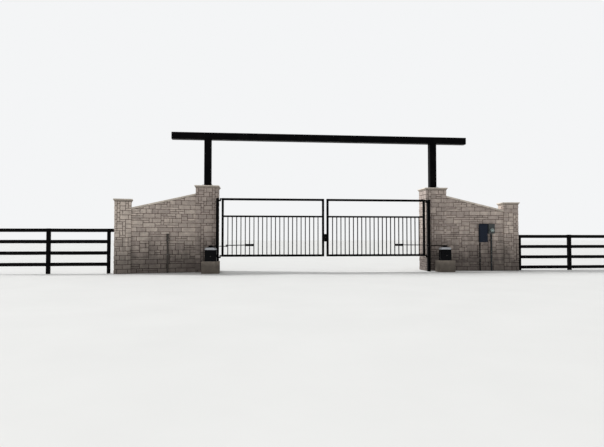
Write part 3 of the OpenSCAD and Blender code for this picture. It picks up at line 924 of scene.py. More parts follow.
@dataclass(frozen=True)
class StoneFacing:
    """Shapes of the stones that an ashlar pattern asks for."""

    pale: float
    tone_range: float = 0.44
    joint: float = 0.0145
    reach: float = 0.030
    mortar_set: float = 0.012
    mortar_waver: float = 0.0012
    rounding: tuple[float, ...] = (0.0, 0.005, 0.017)
    drop: tuple[float, ...] = (0.0060, 0.0018, 0.0)
    inner: int = 7
    arris: float = 0.007
    waves: tuple[int, ...] = (5, 9, 14, 21)
    relief: float = 0.0030
    grit: float = 0.3
    stand: float = 0.0035
    most: float = 0.006
    wander: float = 0.0012
    least: float = 0.010
    squeeze: float = 2.6

    def stones(
        self, cells: Array, pitch: Sequence[float], start: float, face: Perimeter | FlatFace, seed: int
    ) -> Surface:
        """Cuts every stone from one grid of points, all at once.

        A stone's face is its place in the wall, plus a stand of its own, plus sine waves, minus a
        fall towards its edges. A last ring of points goes back into the mortar.

        Args:
            cells: First column and row, columns and rows of each stone.
            pitch: Width and height of a module.
            start: Where the first column starts.
            face: The face that they lie on.
            seed: Seed of the random draws.

        Returns:
            All stones in one surface.
        """
        draw = np.random.default_rng(seed)
        gap, rim, inmost = self.joint / 2, len(self.rounding), self.rounding[-1]
        s0 = start + cells[:, 0] * pitch[0] + gap
        s1 = start + (cells[:, 0] + cells[:, 2]) * pitch[0] - gap
        z0 = cells[:, 1] * pitch[1] + gap
        z1 = (cells[:, 1] + cells[:, 3]) * pitch[1] - gap
        if face.line is not None:
            foot, ahead = face.line(np.array([0.0, 1.0]))
            s1 = np.minimum(s1, (z0 + self.least - foot) / (ahead - foot))
            keep = (s1 - s0 > 2 * self.least) & (z1 - z0 > self.least)
            s0, s1, z0, z1 = (values[keep] for values in (s0, s1, z0, z1))
        s = self._steps(s0, s1, np.ones(1))
        inside = (face.corners > s0[:, None]) & (face.corners < s1[:, None])
        turned = inside.any(axis=1)
        turn = (face.corners * inside).sum(axis=1)[turned, None]
        low, high = s0[turned, None] + inmost, s1[turned, None] - inmost
        half = self.inner // 2
        step = np.arange(half) / half
        before = low + (turn - self.arris - low) * (step + 1 / half)
        after = turn + self.arris + (high - turn - self.arris) * step
        s[turned, rim:-rim] = np.hstack([before, turn, after])
        top = np.broadcast_to(z1[:, None], s.shape)
        if face.line is not None:
            top = np.minimum(top, face.line(s) - gap)
        z0 = np.broadcast_to(z0[:, None], s.shape)
        z = self._steps(z0, top, np.minimum(1, (top - z0) / (self.squeeze * inmost)))
        s = np.repeat(s[:, :, None], z.shape[2], axis=2)
        n, columns, rows = s.shape
        edge = rim - 1
        fade = np.linspace(1, 0, edge, endpoint=False)
        for cut, fades in ((slice(0, edge), fade), (slice(-edge, None), fade[::-1])):
            s[:, cut] += self.wander * draw.normal(size=(n, 1, rows)) * fades[None, :, None]
            z[:, :, cut] += self.wander * draw.normal(size=(n, columns, 1)) * fades
        out = self._relief(s, z, draw, turned)
        around = ((0, 0), (1, 1), (1, 1))
        s, z = np.pad(s, around, mode="edge"), np.pad(z, around, mode="edge")
        out = np.pad(out, around, constant_values=-self.reach)
        tones = self.pale + self.tone_range * (draw.random(n) - 0.5)
        return self._shells(face.place(s, z, out), tones)

    def _steps(self, low: Array, high: Array, share: Array) -> Array:
        """Places across each stone: its rounding at both edges, and even steps between.

        Args:
            low: Where it starts.
            high: Where it ends.
            share: How much of the rounding a stone has room for.

        Returns:
            Array with one more axis.
        """
        low, high, rings = low[..., None], high[..., None], np.array(self.rounding) * share[..., None]
        inmost, even = rings[..., -1:], np.linspace(0, 1, self.inner + 2)[1:-1]
        inner = low + inmost + (high - low - 2 * inmost) * even
        return np.concatenate([low + rings, inner, high - rings[..., ::-1]], axis=-1)

    def _relief(
        self, s: Array, z: Array, draw: np.random.Generator, turned: Array
    ) -> Array:
        """How far each point stands out from the wall's face.

        Args:
            s: Distances along the face.
            z: Heights.
            draw: Source of the random draws.
            turned: Which stones go round a corner.

        Returns:
            Array of the same shape as s.
        """
        n, columns, rows = s.shape
        fall = np.array(self.drop)
        across, upwards = (
            np.concatenate([fall, np.zeros(count - 2 * len(fall)), fall[::-1]]) for count in (columns, rows)
        )
        out = np.repeat(self.stand * draw.uniform(-1, 1, (n, 1, 1)), columns, axis=1)
        for count in self.waves:
            along, upright = draw.uniform(-count, count, (2, n, 1, 1))
            phase = draw.uniform(0, 2 * np.pi, (n, 1, 1))
            swell = self.relief * self.waves[0] / (count + 2)
            out = out + swell * np.sin(2 * np.pi * (along * s + upright * z) + phase)
        out = out + self.grit * self.relief * draw.normal(size=s.shape)
        out = out - across[:, None] - upwards
        middle = columns // 2
        out[turned, middle] = np.minimum(out[turned, middle], 0) - self.arris / 2
        return np.minimum(out, self.most)

    @staticmethod
    def _shells(points: Array, tones: Array) -> Surface:
        """Closes every stone: a grid of faces over it and one face behind it.

        Args:
            points: Array (n, columns, rows, 3).
            tones: One tone for each stone.

        Returns:
            All stones in one surface, faces outwards.
        """
        n, columns, rows, _ = points.shape
        index = np.arange(columns * rows).reshape(columns, rows)
        back = np.concatenate([index[:, 0], index[-1, 1:], index[-2::-1, -1], index[0, -2:0:-1]])
        quads = grid_faces(columns, rows)[:, ::-1].ravel()
        shift = columns * rows * np.arange(n)[:, None]
        loops = np.concatenate([(quads + shift).ravel(), (back[::-1] + shift).ravel()])
        sizes = np.concatenate([np.full(n * len(quads) // 4, 4), np.full(n, len(back))])
        tones = np.repeat(tones, columns * rows)
        return Surface(points.reshape(-1, 3), loops, sizes, tones, np.zeros(len(sizes), int)).outward()


class PillarKind(Enum):
    """The two kinds of pillar, with the seed of the left one's stones."""

    MAIN = 11
    OUTER = 31


def wall_place(side: Side, splay: float) -> Placement:
    """The frame of a wing wall: x along the wall from the main pillar, y away from the front.

    Args:
        side: Which wall.
        splay: Its angle towards the front, in degrees.

    Returns:
        The placement, with its origin at the near outer foot of the main pillar.
    """
    pillar = GATEWAY.box(side.node("main_pillar"))
    turn, sign = math.radians(splay), side.value
    outer = pillar.hi[0] if side is Side.RIGHT else pillar.lo[0]
    along = (sign * math.cos(turn), -math.sin(turn), 0)
    away = (sign * math.sin(turn), math.cos(turn), 0)
    return Placement((outer, pillar.lo[1], 0), (along, away, (0, 0, 1)))


@dataclass
class Pillar:
    """A square pillar of ashlar with its moulded cap."""

    side: Side
    kind: PillarKind
    place: Placement
    facing: StoneFacing
    module: float = 0.0975
    course: float = 0.158
    core_points: int = 12
    core_step: float = 0.08
    cap_points: int = 20
    cap_foot: float = 0.008
    cap_ease: float = 0.009
    cap_rough: float = 0.0022
    top_rough: float = 0.0012
    top_share: float = 0.9
    cove_share: float = 0.6
    band_shares: tuple[float, float] = (0.68, 0.78)
    inward_shares: tuple[float, ...] = (0.0, 0.08, 0.2, 0.34)

    def build(self) -> list[Piece]:
        """Makes the stonework and the cap.

        Returns:
            Both pieces.
        """
        part = self.kind.name.lower()
        pillar, cap = self.side.node(f"{part}_pillar"), self.side.node(f"{part}_cap")
        body, slab = self.place.box(pillar), self.place.box(cap)
        local = self.place.at(*body.lo)
        strip = Perimeter(body.size[0], body.size[1])
        stone = join([self._stones(strip, body.hi[2]), self._core(strip, body.hi[2]).dressed(1)])
        over = (slab.size[0] - strip.width) / 2
        top = self._cap(strip, over, slab.size[2]).moved(0, 0, slab.lo[2]).placed(local)
        return [
            Piece(f"{pillar}_stonework", "wall_stone", stone.placed(local), (WALL_STONE, MORTAR), pillar),
            Piece(f"{cap}_stone", "cap_stone", top, (CAP_STONE, CAP_PAINTED_SHADE), cap),
        ]

    def _seed(self) -> int:
        """Seed of this pillar's stones."""
        return self.kind.value + self.side.value

    def _stones(self, strip: Perimeter, height: float) -> Surface:
        """The stones round all four sides, with none of their joints on a corner.

        Args:
            strip: The pillar's sides.
            height: Its height.

        Returns:
            All stones in the pillar's frame.
        """
        per_side = round(strip.width / self.module)
        rows, columns = 2 * round(height / self.course), 4 * per_side
        pattern, pitch = AshlarPattern(self._seed()), (strip.corners[-1] / columns, height / rows)
        cells = pattern.lay(np.ones((rows, columns), bool), range(0, columns, per_side))
        return self.facing.stones(cells, pitch, 0.0, strip, self._seed())

    def _ring(self, strip: Perimeter, per_side: int) -> Array:
        """Distances along the strip, evenly spaced on each side from corner to corner."""
        ends = np.concatenate([[0], strip.corners])
        return np.concatenate([np.linspace(a, b, per_side, endpoint=False) for a, b in zip(ends, ends[1:])])

    def _core(self, strip: Perimeter, height: float) -> Surface:
        """The mortar behind the stones: a skin set back from the face that wavers a little.

        Args:
            strip: The pillar's sides.
            height: Its height.

        Returns:
            The closed skin in the pillar's frame.
        """
        draw = np.random.default_rng(self._seed() + 1)
        z = np.append(np.arange(0, height, self.core_step)[:-1], height)
        s, z = np.broadcast_arrays(self._ring(strip, self.core_points)[None], z[:, None])
        waver = self.facing.mortar_waver * draw.uniform(-1, 1, s.shape)
        return loft(strip.place(s, z, waver - self.facing.mortar_set))

    def _cap(self, strip: Perimeter, over: float, thick: float) -> Surface:
        """A cap: rings round the pillar that follow a cove, a hewn band, an eased edge and the top.

        Args:
            strip: The pillar's sides.
            over: How far the cap stands out past them.
            thick: Thickness of the cap.

        Returns:
            The closed cap, from z = 0 up, with its foot and cove in its second finish, a darker stone that
            paints the shade under the cap's overhang.
        """
        draw = np.random.default_rng(self._seed() + 2)
        turn = np.linspace(0, np.pi / 2, 6)
        rise, deep, ease = over - self.cap_foot, self.cove_share * thick, self.cap_ease
        foot = [(-strip.width * 0.3, 0.0), (-0.02, 0.0)]
        cove = [(self.cap_foot + rise * (1 - math.cos(a)), deep * math.sin(a)) for a in turn]
        band = [(over, thick * share) for share in self.band_shares]
        edge = [(over - ease * (1 - math.sin(a)), thick - ease * (1 - math.cos(a))) for a in turn[::-1]]
        inward = [(-strip.width * share, thick) for share in self.inward_shares]
        profile = np.array(foot + cove + band + edge + inward)
        s = self._ring(strip, self.cap_points)
        out, z = profile[:, :1], profile[:, 1:]
        shrink = 1 + np.minimum(out, 0) * 2 / strip.width
        out = np.maximum(out, 0)
        rough = self.cap_rough * np.clip((z / thick - 0.3) * 4, 0, 1) * (out > 0)
        out = out - rough * draw.random((len(profile), len(s))) - rough * draw.random(len(s))
        z = z - self.top_rough * (z > self.top_share * thick) * draw.random((len(profile), len(s)))
        rings = strip.place(np.broadcast_to(s, out.shape), z, out)
        middle = np.array([strip.width, strip.depth]) / 2
        rings[..., :2] = middle + (rings[..., :2] - middle) * shrink[..., None]
        slab = loft(rings)
        # The foot and cove take the darker finish: painted shade under the overhang.
        below = (len(foot) + len(cove) - 1) * len(s)
        return replace(slab, finish=(np.arange(len(slab.sizes)) < below).astype(int))


@dataclass
class WingWall:
    """A wing wall of ashlar whose top slopes down to the outer pillar, with its coping stones."""

    side: Side
    place: Placement
    splay: float
    facing: StoneFacing
    module: float = 0.0975
    row: float = 0.079
    core_points: int = 28
    core_sections: int = 26
    core_drop: float = 0.002
    least_share: float = 0.2
    face_seed: int = 51
    core_seed: int = 90
    coping_seed: int = 70
    coping_stones: int = 4
    coping_joint: float = 0.006
    coping_round: float = 0.009
    coping_step: float = 0.055
    coping_ease: float = 0.004
    coping_rough: tuple[float, float] = (0.0022, 0.0012)
    buried: float = 0.03

    def build(self) -> list[Piece]:
        """Makes the stonework and the coping.

        Returns:
            Both pieces.
        """
        wall, coping = self.side.node("wing_wall"), self.side.node("coping")
        stone = join([*self._faces(wall), self._core(wall).dressed(1)]).placed(self.place)
        return [
            Piece(f"{wall}_stonework", "wall_stone", stone, (WALL_STONE, MORTAR), wall),
            Piece(f"{coping}_stones", "cap_stone", self._coping(coping), (CAP_STONE, MORTAR), coping),
        ]

    def _start(self, y: float | Array) -> float | Array:
        """Where the main pillar's side lies at a depth y, since it is not square to the wall."""
        return -y * math.tan(math.radians(self.splay))

    def _end_heights(self, node: str) -> list[tuple[float, float, float]]:
        """Where a node starts and where it ends along the wall, each with its lowest and highest z.

        Args:
            node: Its name.

        Returns:
            Triples of x, low and high.
        """
        local = self.place.points(node)
        x, z = local[:, 0], local[:, 2]
        ends = [(end, z[np.abs(x - end) < 0.001]) for end in (x.min(), x.max())]
        return [(end, heights.min(), heights.max()) for end, heights in ends]

    def _line(self, node: str) -> Line:
        """The sloping top of a node: the straight line through its highest points at both ends."""
        (x0, _, z0), (x1, _, z1) = self._end_heights(node)
        return lambda x: z0 + (z1 - z0) * (x - x0) / (x1 - x0)

    def _faces(self, node: str) -> list[Surface]:
        """The stones on the front and the back.

        Args:
            node: The wall's node.

        Returns:
            One surface for each face, in the wall's frame.
        """
        lo, hi = self.place.box(node)
        line = self._line(node)
        found = []
        for number, (y, way) in enumerate(((lo[1], -1), (hi[1], 1))):
            start = self._start(y) - self.facing.mortar_set
            length = hi[0] + self.facing.mortar_set - start
            columns, rows = round(length / self.module), math.ceil(hi[2] / self.row)
            left_edges = start + length * np.arange(columns) / columns
            room = line(left_edges)[None] - self.row * np.arange(rows)[:, None]
            seed = self.face_seed + 2 * self.side.value + 10 * number
            cells = AshlarPattern(seed).lay(room > self.least_share * self.row)
            pitch = (length / columns, self.row)
            found.append(self.facing.stones(cells, pitch, start, FlatFace(y, way, line), seed))
        return found

    def _core(self, node: str) -> Surface:
        """The mortar core: upright sections along the wall, set back from its faces.

        Args:
            node: The wall's node.

        Returns:
            The closed core in the wall's frame.
        """
        lo, hi = self.place.box(node)
        draw = np.random.default_rng(self.core_seed + self.side.value)
        share = np.linspace(0, 1, self.core_points)
        front, back = lo[1] + self.facing.mortar_set, hi[1] - self.facing.mortar_set
        rim_y = np.repeat([front, back], self.core_points)
        start = self._start(rim_y) - self.buried
        x = start + (hi[0] + self.buried - start) * np.linspace(0, 1, self.core_sections)[:, None]
        y = rim_y + self.facing.mortar_waver * draw.uniform(-1, 1, x.shape)
        z = np.concatenate([share, share[::-1]]) * (self._line(node)(x) - self.core_drop)
        return loft(np.stack([x, y, z], axis=-1)).outward()

    def _coping(self, node: str) -> Surface:
        """The coping stones: rounded sections carried down the slope, with a joint between stones.

        Args:
            node: The coping's node.

        Returns:
            All stones and the mortar in their joints.
        """
        draw = np.random.default_rng(self.coping_seed + self.side.value)
        box, line = self.place.box(node), self._line(node)
        thick = line(box.hi[0]) - self._end_heights(node)[1][1]
        section = rounded_rect(box.size[1], thick, self.coping_round)
        start, end = self._start(box.middle[1]) - self.buried, box.hi[0] + self.buried
        ends = np.linspace(start, end, self.coping_stones + 1)
        parts = [
            self._slab(section, x0, x1 - self.coping_joint, draw).toned(number % 3 / 3)
            for number, (x0, x1) in enumerate(zip(ends, ends[1:]))
        ]
        slabs = join([*parts, self._slab(inset(section, 0.006), start, end, None).dressed(1)])
        x, y, z = slabs.points.T
        points = np.stack([x, box.middle[1] + y, line(x) - thick / 2 + z], axis=1)
        return replace(slabs, points=points).placed(self.place)

    def _slab(
        self, section: Array, x0: float, x1: float, draw: np.random.Generator | None
    ) -> Surface:
        """One length of coping, as if it lay level.

        Args:
            section: Its section, with the first axis across the wall.
            x0: Where it starts along the wall.
            x1: Where it ends.
            draw: Source of the roughness of its edges, or None.

        Returns:
            The closed slab round its middle line.
        """
        ease, steps = self.coping_ease, max(2, round((x1 - x0) / self.coping_step))
        x = np.concatenate([[x0, x0 + ease], np.linspace(x0, x1, steps + 1)[1:-1], [x1 - ease, x1]])
        rings = np.repeat(section[None], len(x), axis=0)
        rings[[0, -1]] = inset(section, ease)
        if draw is not None:
            side, top = self.coping_rough
            rings[..., 0] -= np.sign(rings[..., 0]) * side * draw.random(rings.shape[:2])
            rings[..., 1] -= top * draw.random(rings.shape[:2]) * (rings[..., 1] > 0)
        return loft(np.dstack([np.broadcast_to(x[:, None], rings.shape[:2]), rings]))


@dataclass
class HeaderBeam:
    """The header beam on its two posts. The frame's own solids are dressed, and the plates, welds
    and anchors are added."""

    width: float = 0.254
    corner: float = 0.025
    end_plate: float = 0.005
    base_plate: float = 0.020
    bolt_out: float = 0.158
    stud: float = 0.045
    plate_weld: float = 0.004
    post_weld: float = 0.006

    def build(self) -> list[Piece]:
        """Dresses the beam and its posts, and makes what is fixed to them.

        Returns:
            One piece.
        """
        for node in ("header_beam", "left_beam_post", "right_beam_post"):
            dress_node(node, BEAM_BLACK)
        beam = GATEWAY.box("header_beam")
        section = rounded_rect(self.width, self.width, self.corner, 6)
        parts = []
        for x, way in ((beam.lo[0], -1), (beam.hi[0], 1)):
            place = GATEWAY.at(x, *beam.middle[1:]).turned(Axis.X)
            low, high = sorted((-0.002 * way, self.end_plate * way))
            parts.append(prism(inset(section, 0.006), low, high, 0.0015).placed(place))
            parts.append(weld_bead(inset(section, 0.0055), 0.001 * way, self.plate_weld).placed(place, 1))
        for side in Side:
            post = GATEWAY.box(side.node("beam_post"))
            place = GATEWAY.at(*post.middle[:2], 0)
            plate_top = post.lo[2] + self.base_plate
            anchor = join([bolt(0.036, 0.016, 0.004), drum(0.008, 0, self.stud, sides=16)])
            shifts = CORNERS * (self.bolt_out, self.bolt_out, plate_top)
            for z in (beam.lo[2], plate_top + 0.002):
                parts.append(weld_bead(section, z, self.post_weld).placed(place, 1))
            parts.append(anchor.copies(shifts).placed(place, 2))
        return [Piece("beam_hardware", "gate_black", join(parts), (BEAM_BLACK, WELD, BOLT_STEEL))]


@dataclass(frozen=True)
class Hinge:
    """Sizes that the posts and the leaves share at their hinges."""

    gap: float = 0.092
    barrel: float = 0.024
    half: float = 0.052
    rim: float = 0.0025
    pin: float = 0.012
    play: float = 0.001
    web: float = 0.020
    seam: float = 0.006
    tube: float = 0.064

    def splits(self, leaf: Box) -> list[float]:
        """Heights at which the halves of each hinge meet, behind the leaf's bottom and top rails."""
        return [leaf.lo[2] + self.tube / 2 - self.half / 2, leaf.hi[2] - self.tube / 2 - self.half / 2]

    def knuckle(self, way: int, low: float, bored: bool) -> Surface:
        """One half of a hinge round the pin's axis: a barrel, a web to the tube and the web's weld.

        Args:
            way: The sign of X in which the tube stands.
            low: Height of its lower end.
            bored: Whether it has a bore for the pin.

        Returns:
            One surface, with the weld in its second finish.
        """
        high, bore = low + self.half, self.pin + BORE_PLAY
        profile = rim_profile(self.barrel, low, high, self.rim)
        if bored:
            profile = [(bore, low), *profile, (bore, high)]
        start, end = way * self.pin * 1.5 * bored, way * self.gap / 2
        web = rounded_rect(abs(end - start), self.web, 0.003, 3) + ((start + end) / 2, 0)
        seam = rounded_rect(self.seam, self.web + 0.004, 0.002) + (end, 0)
        weld = prism(seam, low, high).dressed(1)
        return join([revolve(profile, 36, bored), prism(web, low + 0.0005, high - 0.0005), weld])


@dataclass
class HingePost:
    """A square steel post with its cap plate and the lower halves of the hinges."""

    side: Side
    hinge: Hinge
    width: float = 0.102
    corner: float = 0.009
    cap: float = 0.008
    cap_out: float = 0.003
    pin_out: float = 0.005

    def build(self) -> list[Piece]:
        """Makes the post with its cap plate, hinge pins and welds.

        Returns:
            One piece.
        """
        node, sign, r = self.side.node("hinge_post"), self.side.value, self.hinge.pin
        top = GATEWAY.box(node).hi[2]
        pin = self.side.joint("leaf_hinge")
        section = rounded_rect(self.width, self.width, self.corner)
        plate = rounded_rect(self.width + 2 * self.cap_out, self.width + 2 * self.cap_out, self.corner)
        post = GATEWAY.at(pin[0] + sign * (self.hinge.gap + self.width) / 2, pin[1], 0)
        parts = [
            prism(section, 0, top - self.cap).placed(post),
            prism(plate, top - self.cap, top).placed(post),
            weld_bead(section, top - self.cap).placed(post, 1),
        ]
        at = GATEWAY.at(*pin[:2], 0)
        for split in self.hinge.splits(GATEWAY.box(self.side.node("leaf_frame"))):
            low, high = split - self.hinge.half, split + self.hinge.half + self.pin_out
            shank = [(r - 0.002, low), (r, low + 0.002), (r, high - 0.003), (r - 0.003, high)]
            parts.append(self.hinge.knuckle(sign, low, False).placed(at))
            parts.append(revolve(shank, 24).placed(at, 2))
        return [Piece(f"{node}_steel", "gate_black", join(parts), STEELWORK, node)]


@dataclass
class GateLeaf:
    """A gate leaf: its welded frame with hinge barrels, its pickets and the operator's bracket."""

    side: Side
    hinge: Hinge
    tube: float = 0.076
    middle: float = 0.060
    middle_height: float = 1.970
    corner: float = 0.006
    picket: float = 0.032
    pickets: int = 22
    tone_seed: int = 7
    sunk: float = 0.001
    cap_weld: float = 0.0020
    rail_weld: float = 0.0035
    picket_weld: float = 0.0025
    bracket_thick: float = 0.010
    bracket_high: float = 0.080
    bracket_long: float = 0.330
    bracket_corner: float = 0.010
    lug: float = 0.060
    lug_thick: float = 0.012
    lug_gap: float = 0.005
    arm_thick: float = 0.025
    pin_end: float = 0.006
    pin: float = 0.010

    def build(self) -> list[Piece]:
        """Makes the frame, the pickets and the bracket.

        Returns:
            Three pieces.
        """
        node, body = self.side.node, self.side.node("leaf")
        made = {
            "leaf_frame": ("steel", self._frame()),
            "pickets": ("bars", self._pickets()),
            "arm_bracket": ("plate", self._bracket()),
        }
        return [
            Piece(f"{node(part)}_{word}", "gate_black", surface, STEELWORK, node(part), body)
            for part, (word, surface) in made.items()
        ]

    def _frame(self) -> Surface:
        """Two stiles from the bottom to the top, three rails between them, welds and barrels.

        Returns:
            The frame.
        """
        sign, pin = self.side.value, self.side.joint("leaf_hinge")
        leaf = GATEWAY.box(self.side.node("leaf_frame"))
        inner = leaf.lo[0] if self.side is Side.RIGHT else leaf.hi[0]
        section = rounded_rect(self.tube, self.tube, self.corner)
        slim = rounded_rect(self.middle, self.middle, self.corner)
        half = self.tube / 2
        stiles = sorted((pin[0] - sign * (self.hinge.gap / 2 + half), inner + sign * half))
        parts = []
        for x in stiles:
            at = GATEWAY.at(x, pin[1], 0)
            parts.append(prism(section, leaf.lo[2], leaf.hi[2], 0.003).placed(at))
            parts.append(weld_bead(inset(section, 0.004), leaf.hi[2] - 0.001, self.cap_weld).placed(at, 1))
        a, b = stiles[0] + half, stiles[1] - half
        heights = (leaf.lo[2] + half, self.middle_height, leaf.hi[2] - half)
        for z, outline in zip(heights, (section, slim, section)):
            rail = GATEWAY.at(0, pin[1], z).turned(Axis.X)
            parts.append(prism(outline, a - self.sunk, b + self.sunk, 0.0005, 1).placed(rail))
            for x in (a + 0.0015, b - 0.0015):
                parts.append(weld_bead(outline, x, self.rail_weld).placed(rail, 1))
        at = GATEWAY.at(*pin[:2], 0)
        for split in self.hinge.splits(leaf):
            parts.append(self.hinge.knuckle(-sign, split + self.hinge.play, True).placed(at))
        return join(parts)

    def _pickets(self) -> Surface:
        """Square bars from the bottom rail to the middle rail, evenly spaced, welded at both ends.

        Returns:
            All bars.
        """
        box = GATEWAY.box(self.side.node("pickets"))
        foot = GATEWAY.box(self.side.node("leaf_frame")).lo[2] + self.tube
        head = self.middle_height - self.middle / 2
        section = rounded_rect(self.picket, self.picket, 0.003, 3)
        x = np.linspace(box.lo[0] + self.picket / 2, box.hi[0] - self.picket / 2, self.pickets)
        shifts = np.column_stack([x, np.full(len(x), box.middle[1]), np.zeros(len(x))])
        tones = np.random.default_rng(self.tone_seed + self.side.value).random(len(x))
        bar = prism(section, foot - self.sunk, head + self.sunk, 0.0005, 1)
        beads = join(weld_bead(section, z, self.picket_weld) for z in (foot + 0.001, head - 0.001))
        return join([bar.copies(shifts, tones), beads.copies(shifts, tones).dressed(1)])

    def _bracket(self) -> Surface:
        """The plate bolted across the pickets, with two lugs that hold the rod's pin.

        Returns:
            The bracket.
        """
        box = GATEWAY.box(self.side.node("arm_bracket"))
        pivot = self.side.joint("rod_turn")
        z, r, thick = pivot[2], self.lug / 2, self.bracket_thick
        middle = GATEWAY.at(box.middle[0], box.hi[1], z)
        outline = rounded_rect(self.bracket_high, self.bracket_long, self.bracket_corner)
        reach = box.hi[1] - thick - pivot[1]
        tab = np.vstack([circle(r, 40)[21:], [[r, 0], [r, reach], [-r, reach]]])
        seam = rounded_rect(self.lug + 0.002, 0.006, 0.002) + (0, reach)
        inside = self.arm_thick / 2 + self.lug_gap
        half = inside + self.lug_thick + self.pin_end
        at = GATEWAY.at(*pivot[:2], 0)
        parts = [
            prism(outline, -thick, 0).placed(middle.turned(Axis.Y)),
            drum(self.pin, z - half, z + half, 0.002, 24).placed(at, 2),
            drum(self.pin * 1.5, z + half - 0.006, z + half - 0.003, 0.0005, 24).placed(at, 2),
        ]
        for low in (z + inside, z - inside - self.lug_thick):
            parts.append(prism(tab, low, low + self.lug_thick, 0.0015).placed(at))
            parts.append(prism(seam, low - 0.003, low + self.lug_thick + 0.003).placed(at, 1))
        spots = np.array([(x, y, 0) for x in (-0.45, -0.15, 0.45) for y in (-0.3, 0.3)])
        shifts = spots * (self.side.value * self.bracket_long, self.bracket_high, 1)
        nuts = bolt(0.019, 0.007).copies(shifts)
        return join([*parts, nuts.placed(middle.at(0, -thick, 0).turned(Axis.FRONT), 2)])


@dataclass
class GateLock:
    """The lock's case on the right leaf's meeting stile."""

    corner: float = 0.004
    cover: float = 0.0025
    barrel: float = 0.011
    barrel_out: float = 0.009
    above: float = 0.020

    def build(self) -> list[Piece]:
        """Makes the case, its cover, the lock barrel, the bolt and the screws.

        Returns:
            One piece.
        """
        box = GATEWAY.box("gate_lock")
        x, y, z = box.middle
        wide, deep, tall = box.size
        face = GATEWAY.at(x, box.lo[1], z).turned(Axis.FRONT)
        key = face.at(0, self.above, 0)
        slot = rounded_rect(0.0022, self.barrel, 0.001)
        tongue = prism(rounded_rect(0.018, 0.034, 0.003), -0.004, 0.004, 0.001)
        screws = drum(0.0042, 0, 0.0032, 0.001, 14).copies(CORNERS * (wide * 0.34, tall * 0.41, 0.001))
        case = prism(rounded_rect(wide, deep, self.corner), -tall / 2, tall / 2, 0.003)
        parts = [
            case.placed(GATEWAY.at(x, y, z)),
            prism(rounded_rect(wide * 0.86, tall * 0.92, 0.008), 0, self.cover, 0.001).placed(face),
            drum(self.barrel, 0, self.barrel_out).placed(key, 2),
            prism(slot, 0, self.barrel_out + 0.0005, 0.0003, 1).placed(key, 1),
            screws.placed(face, 2),
            tongue.placed(GATEWAY.at(box.lo[0], y, z + self.above).turned(Axis.X), 2),
        ]
        return [Piece("gate_lock_case", "arm_steel", join(parts), STEELWORK, "gate_lock", "right_leaf")]


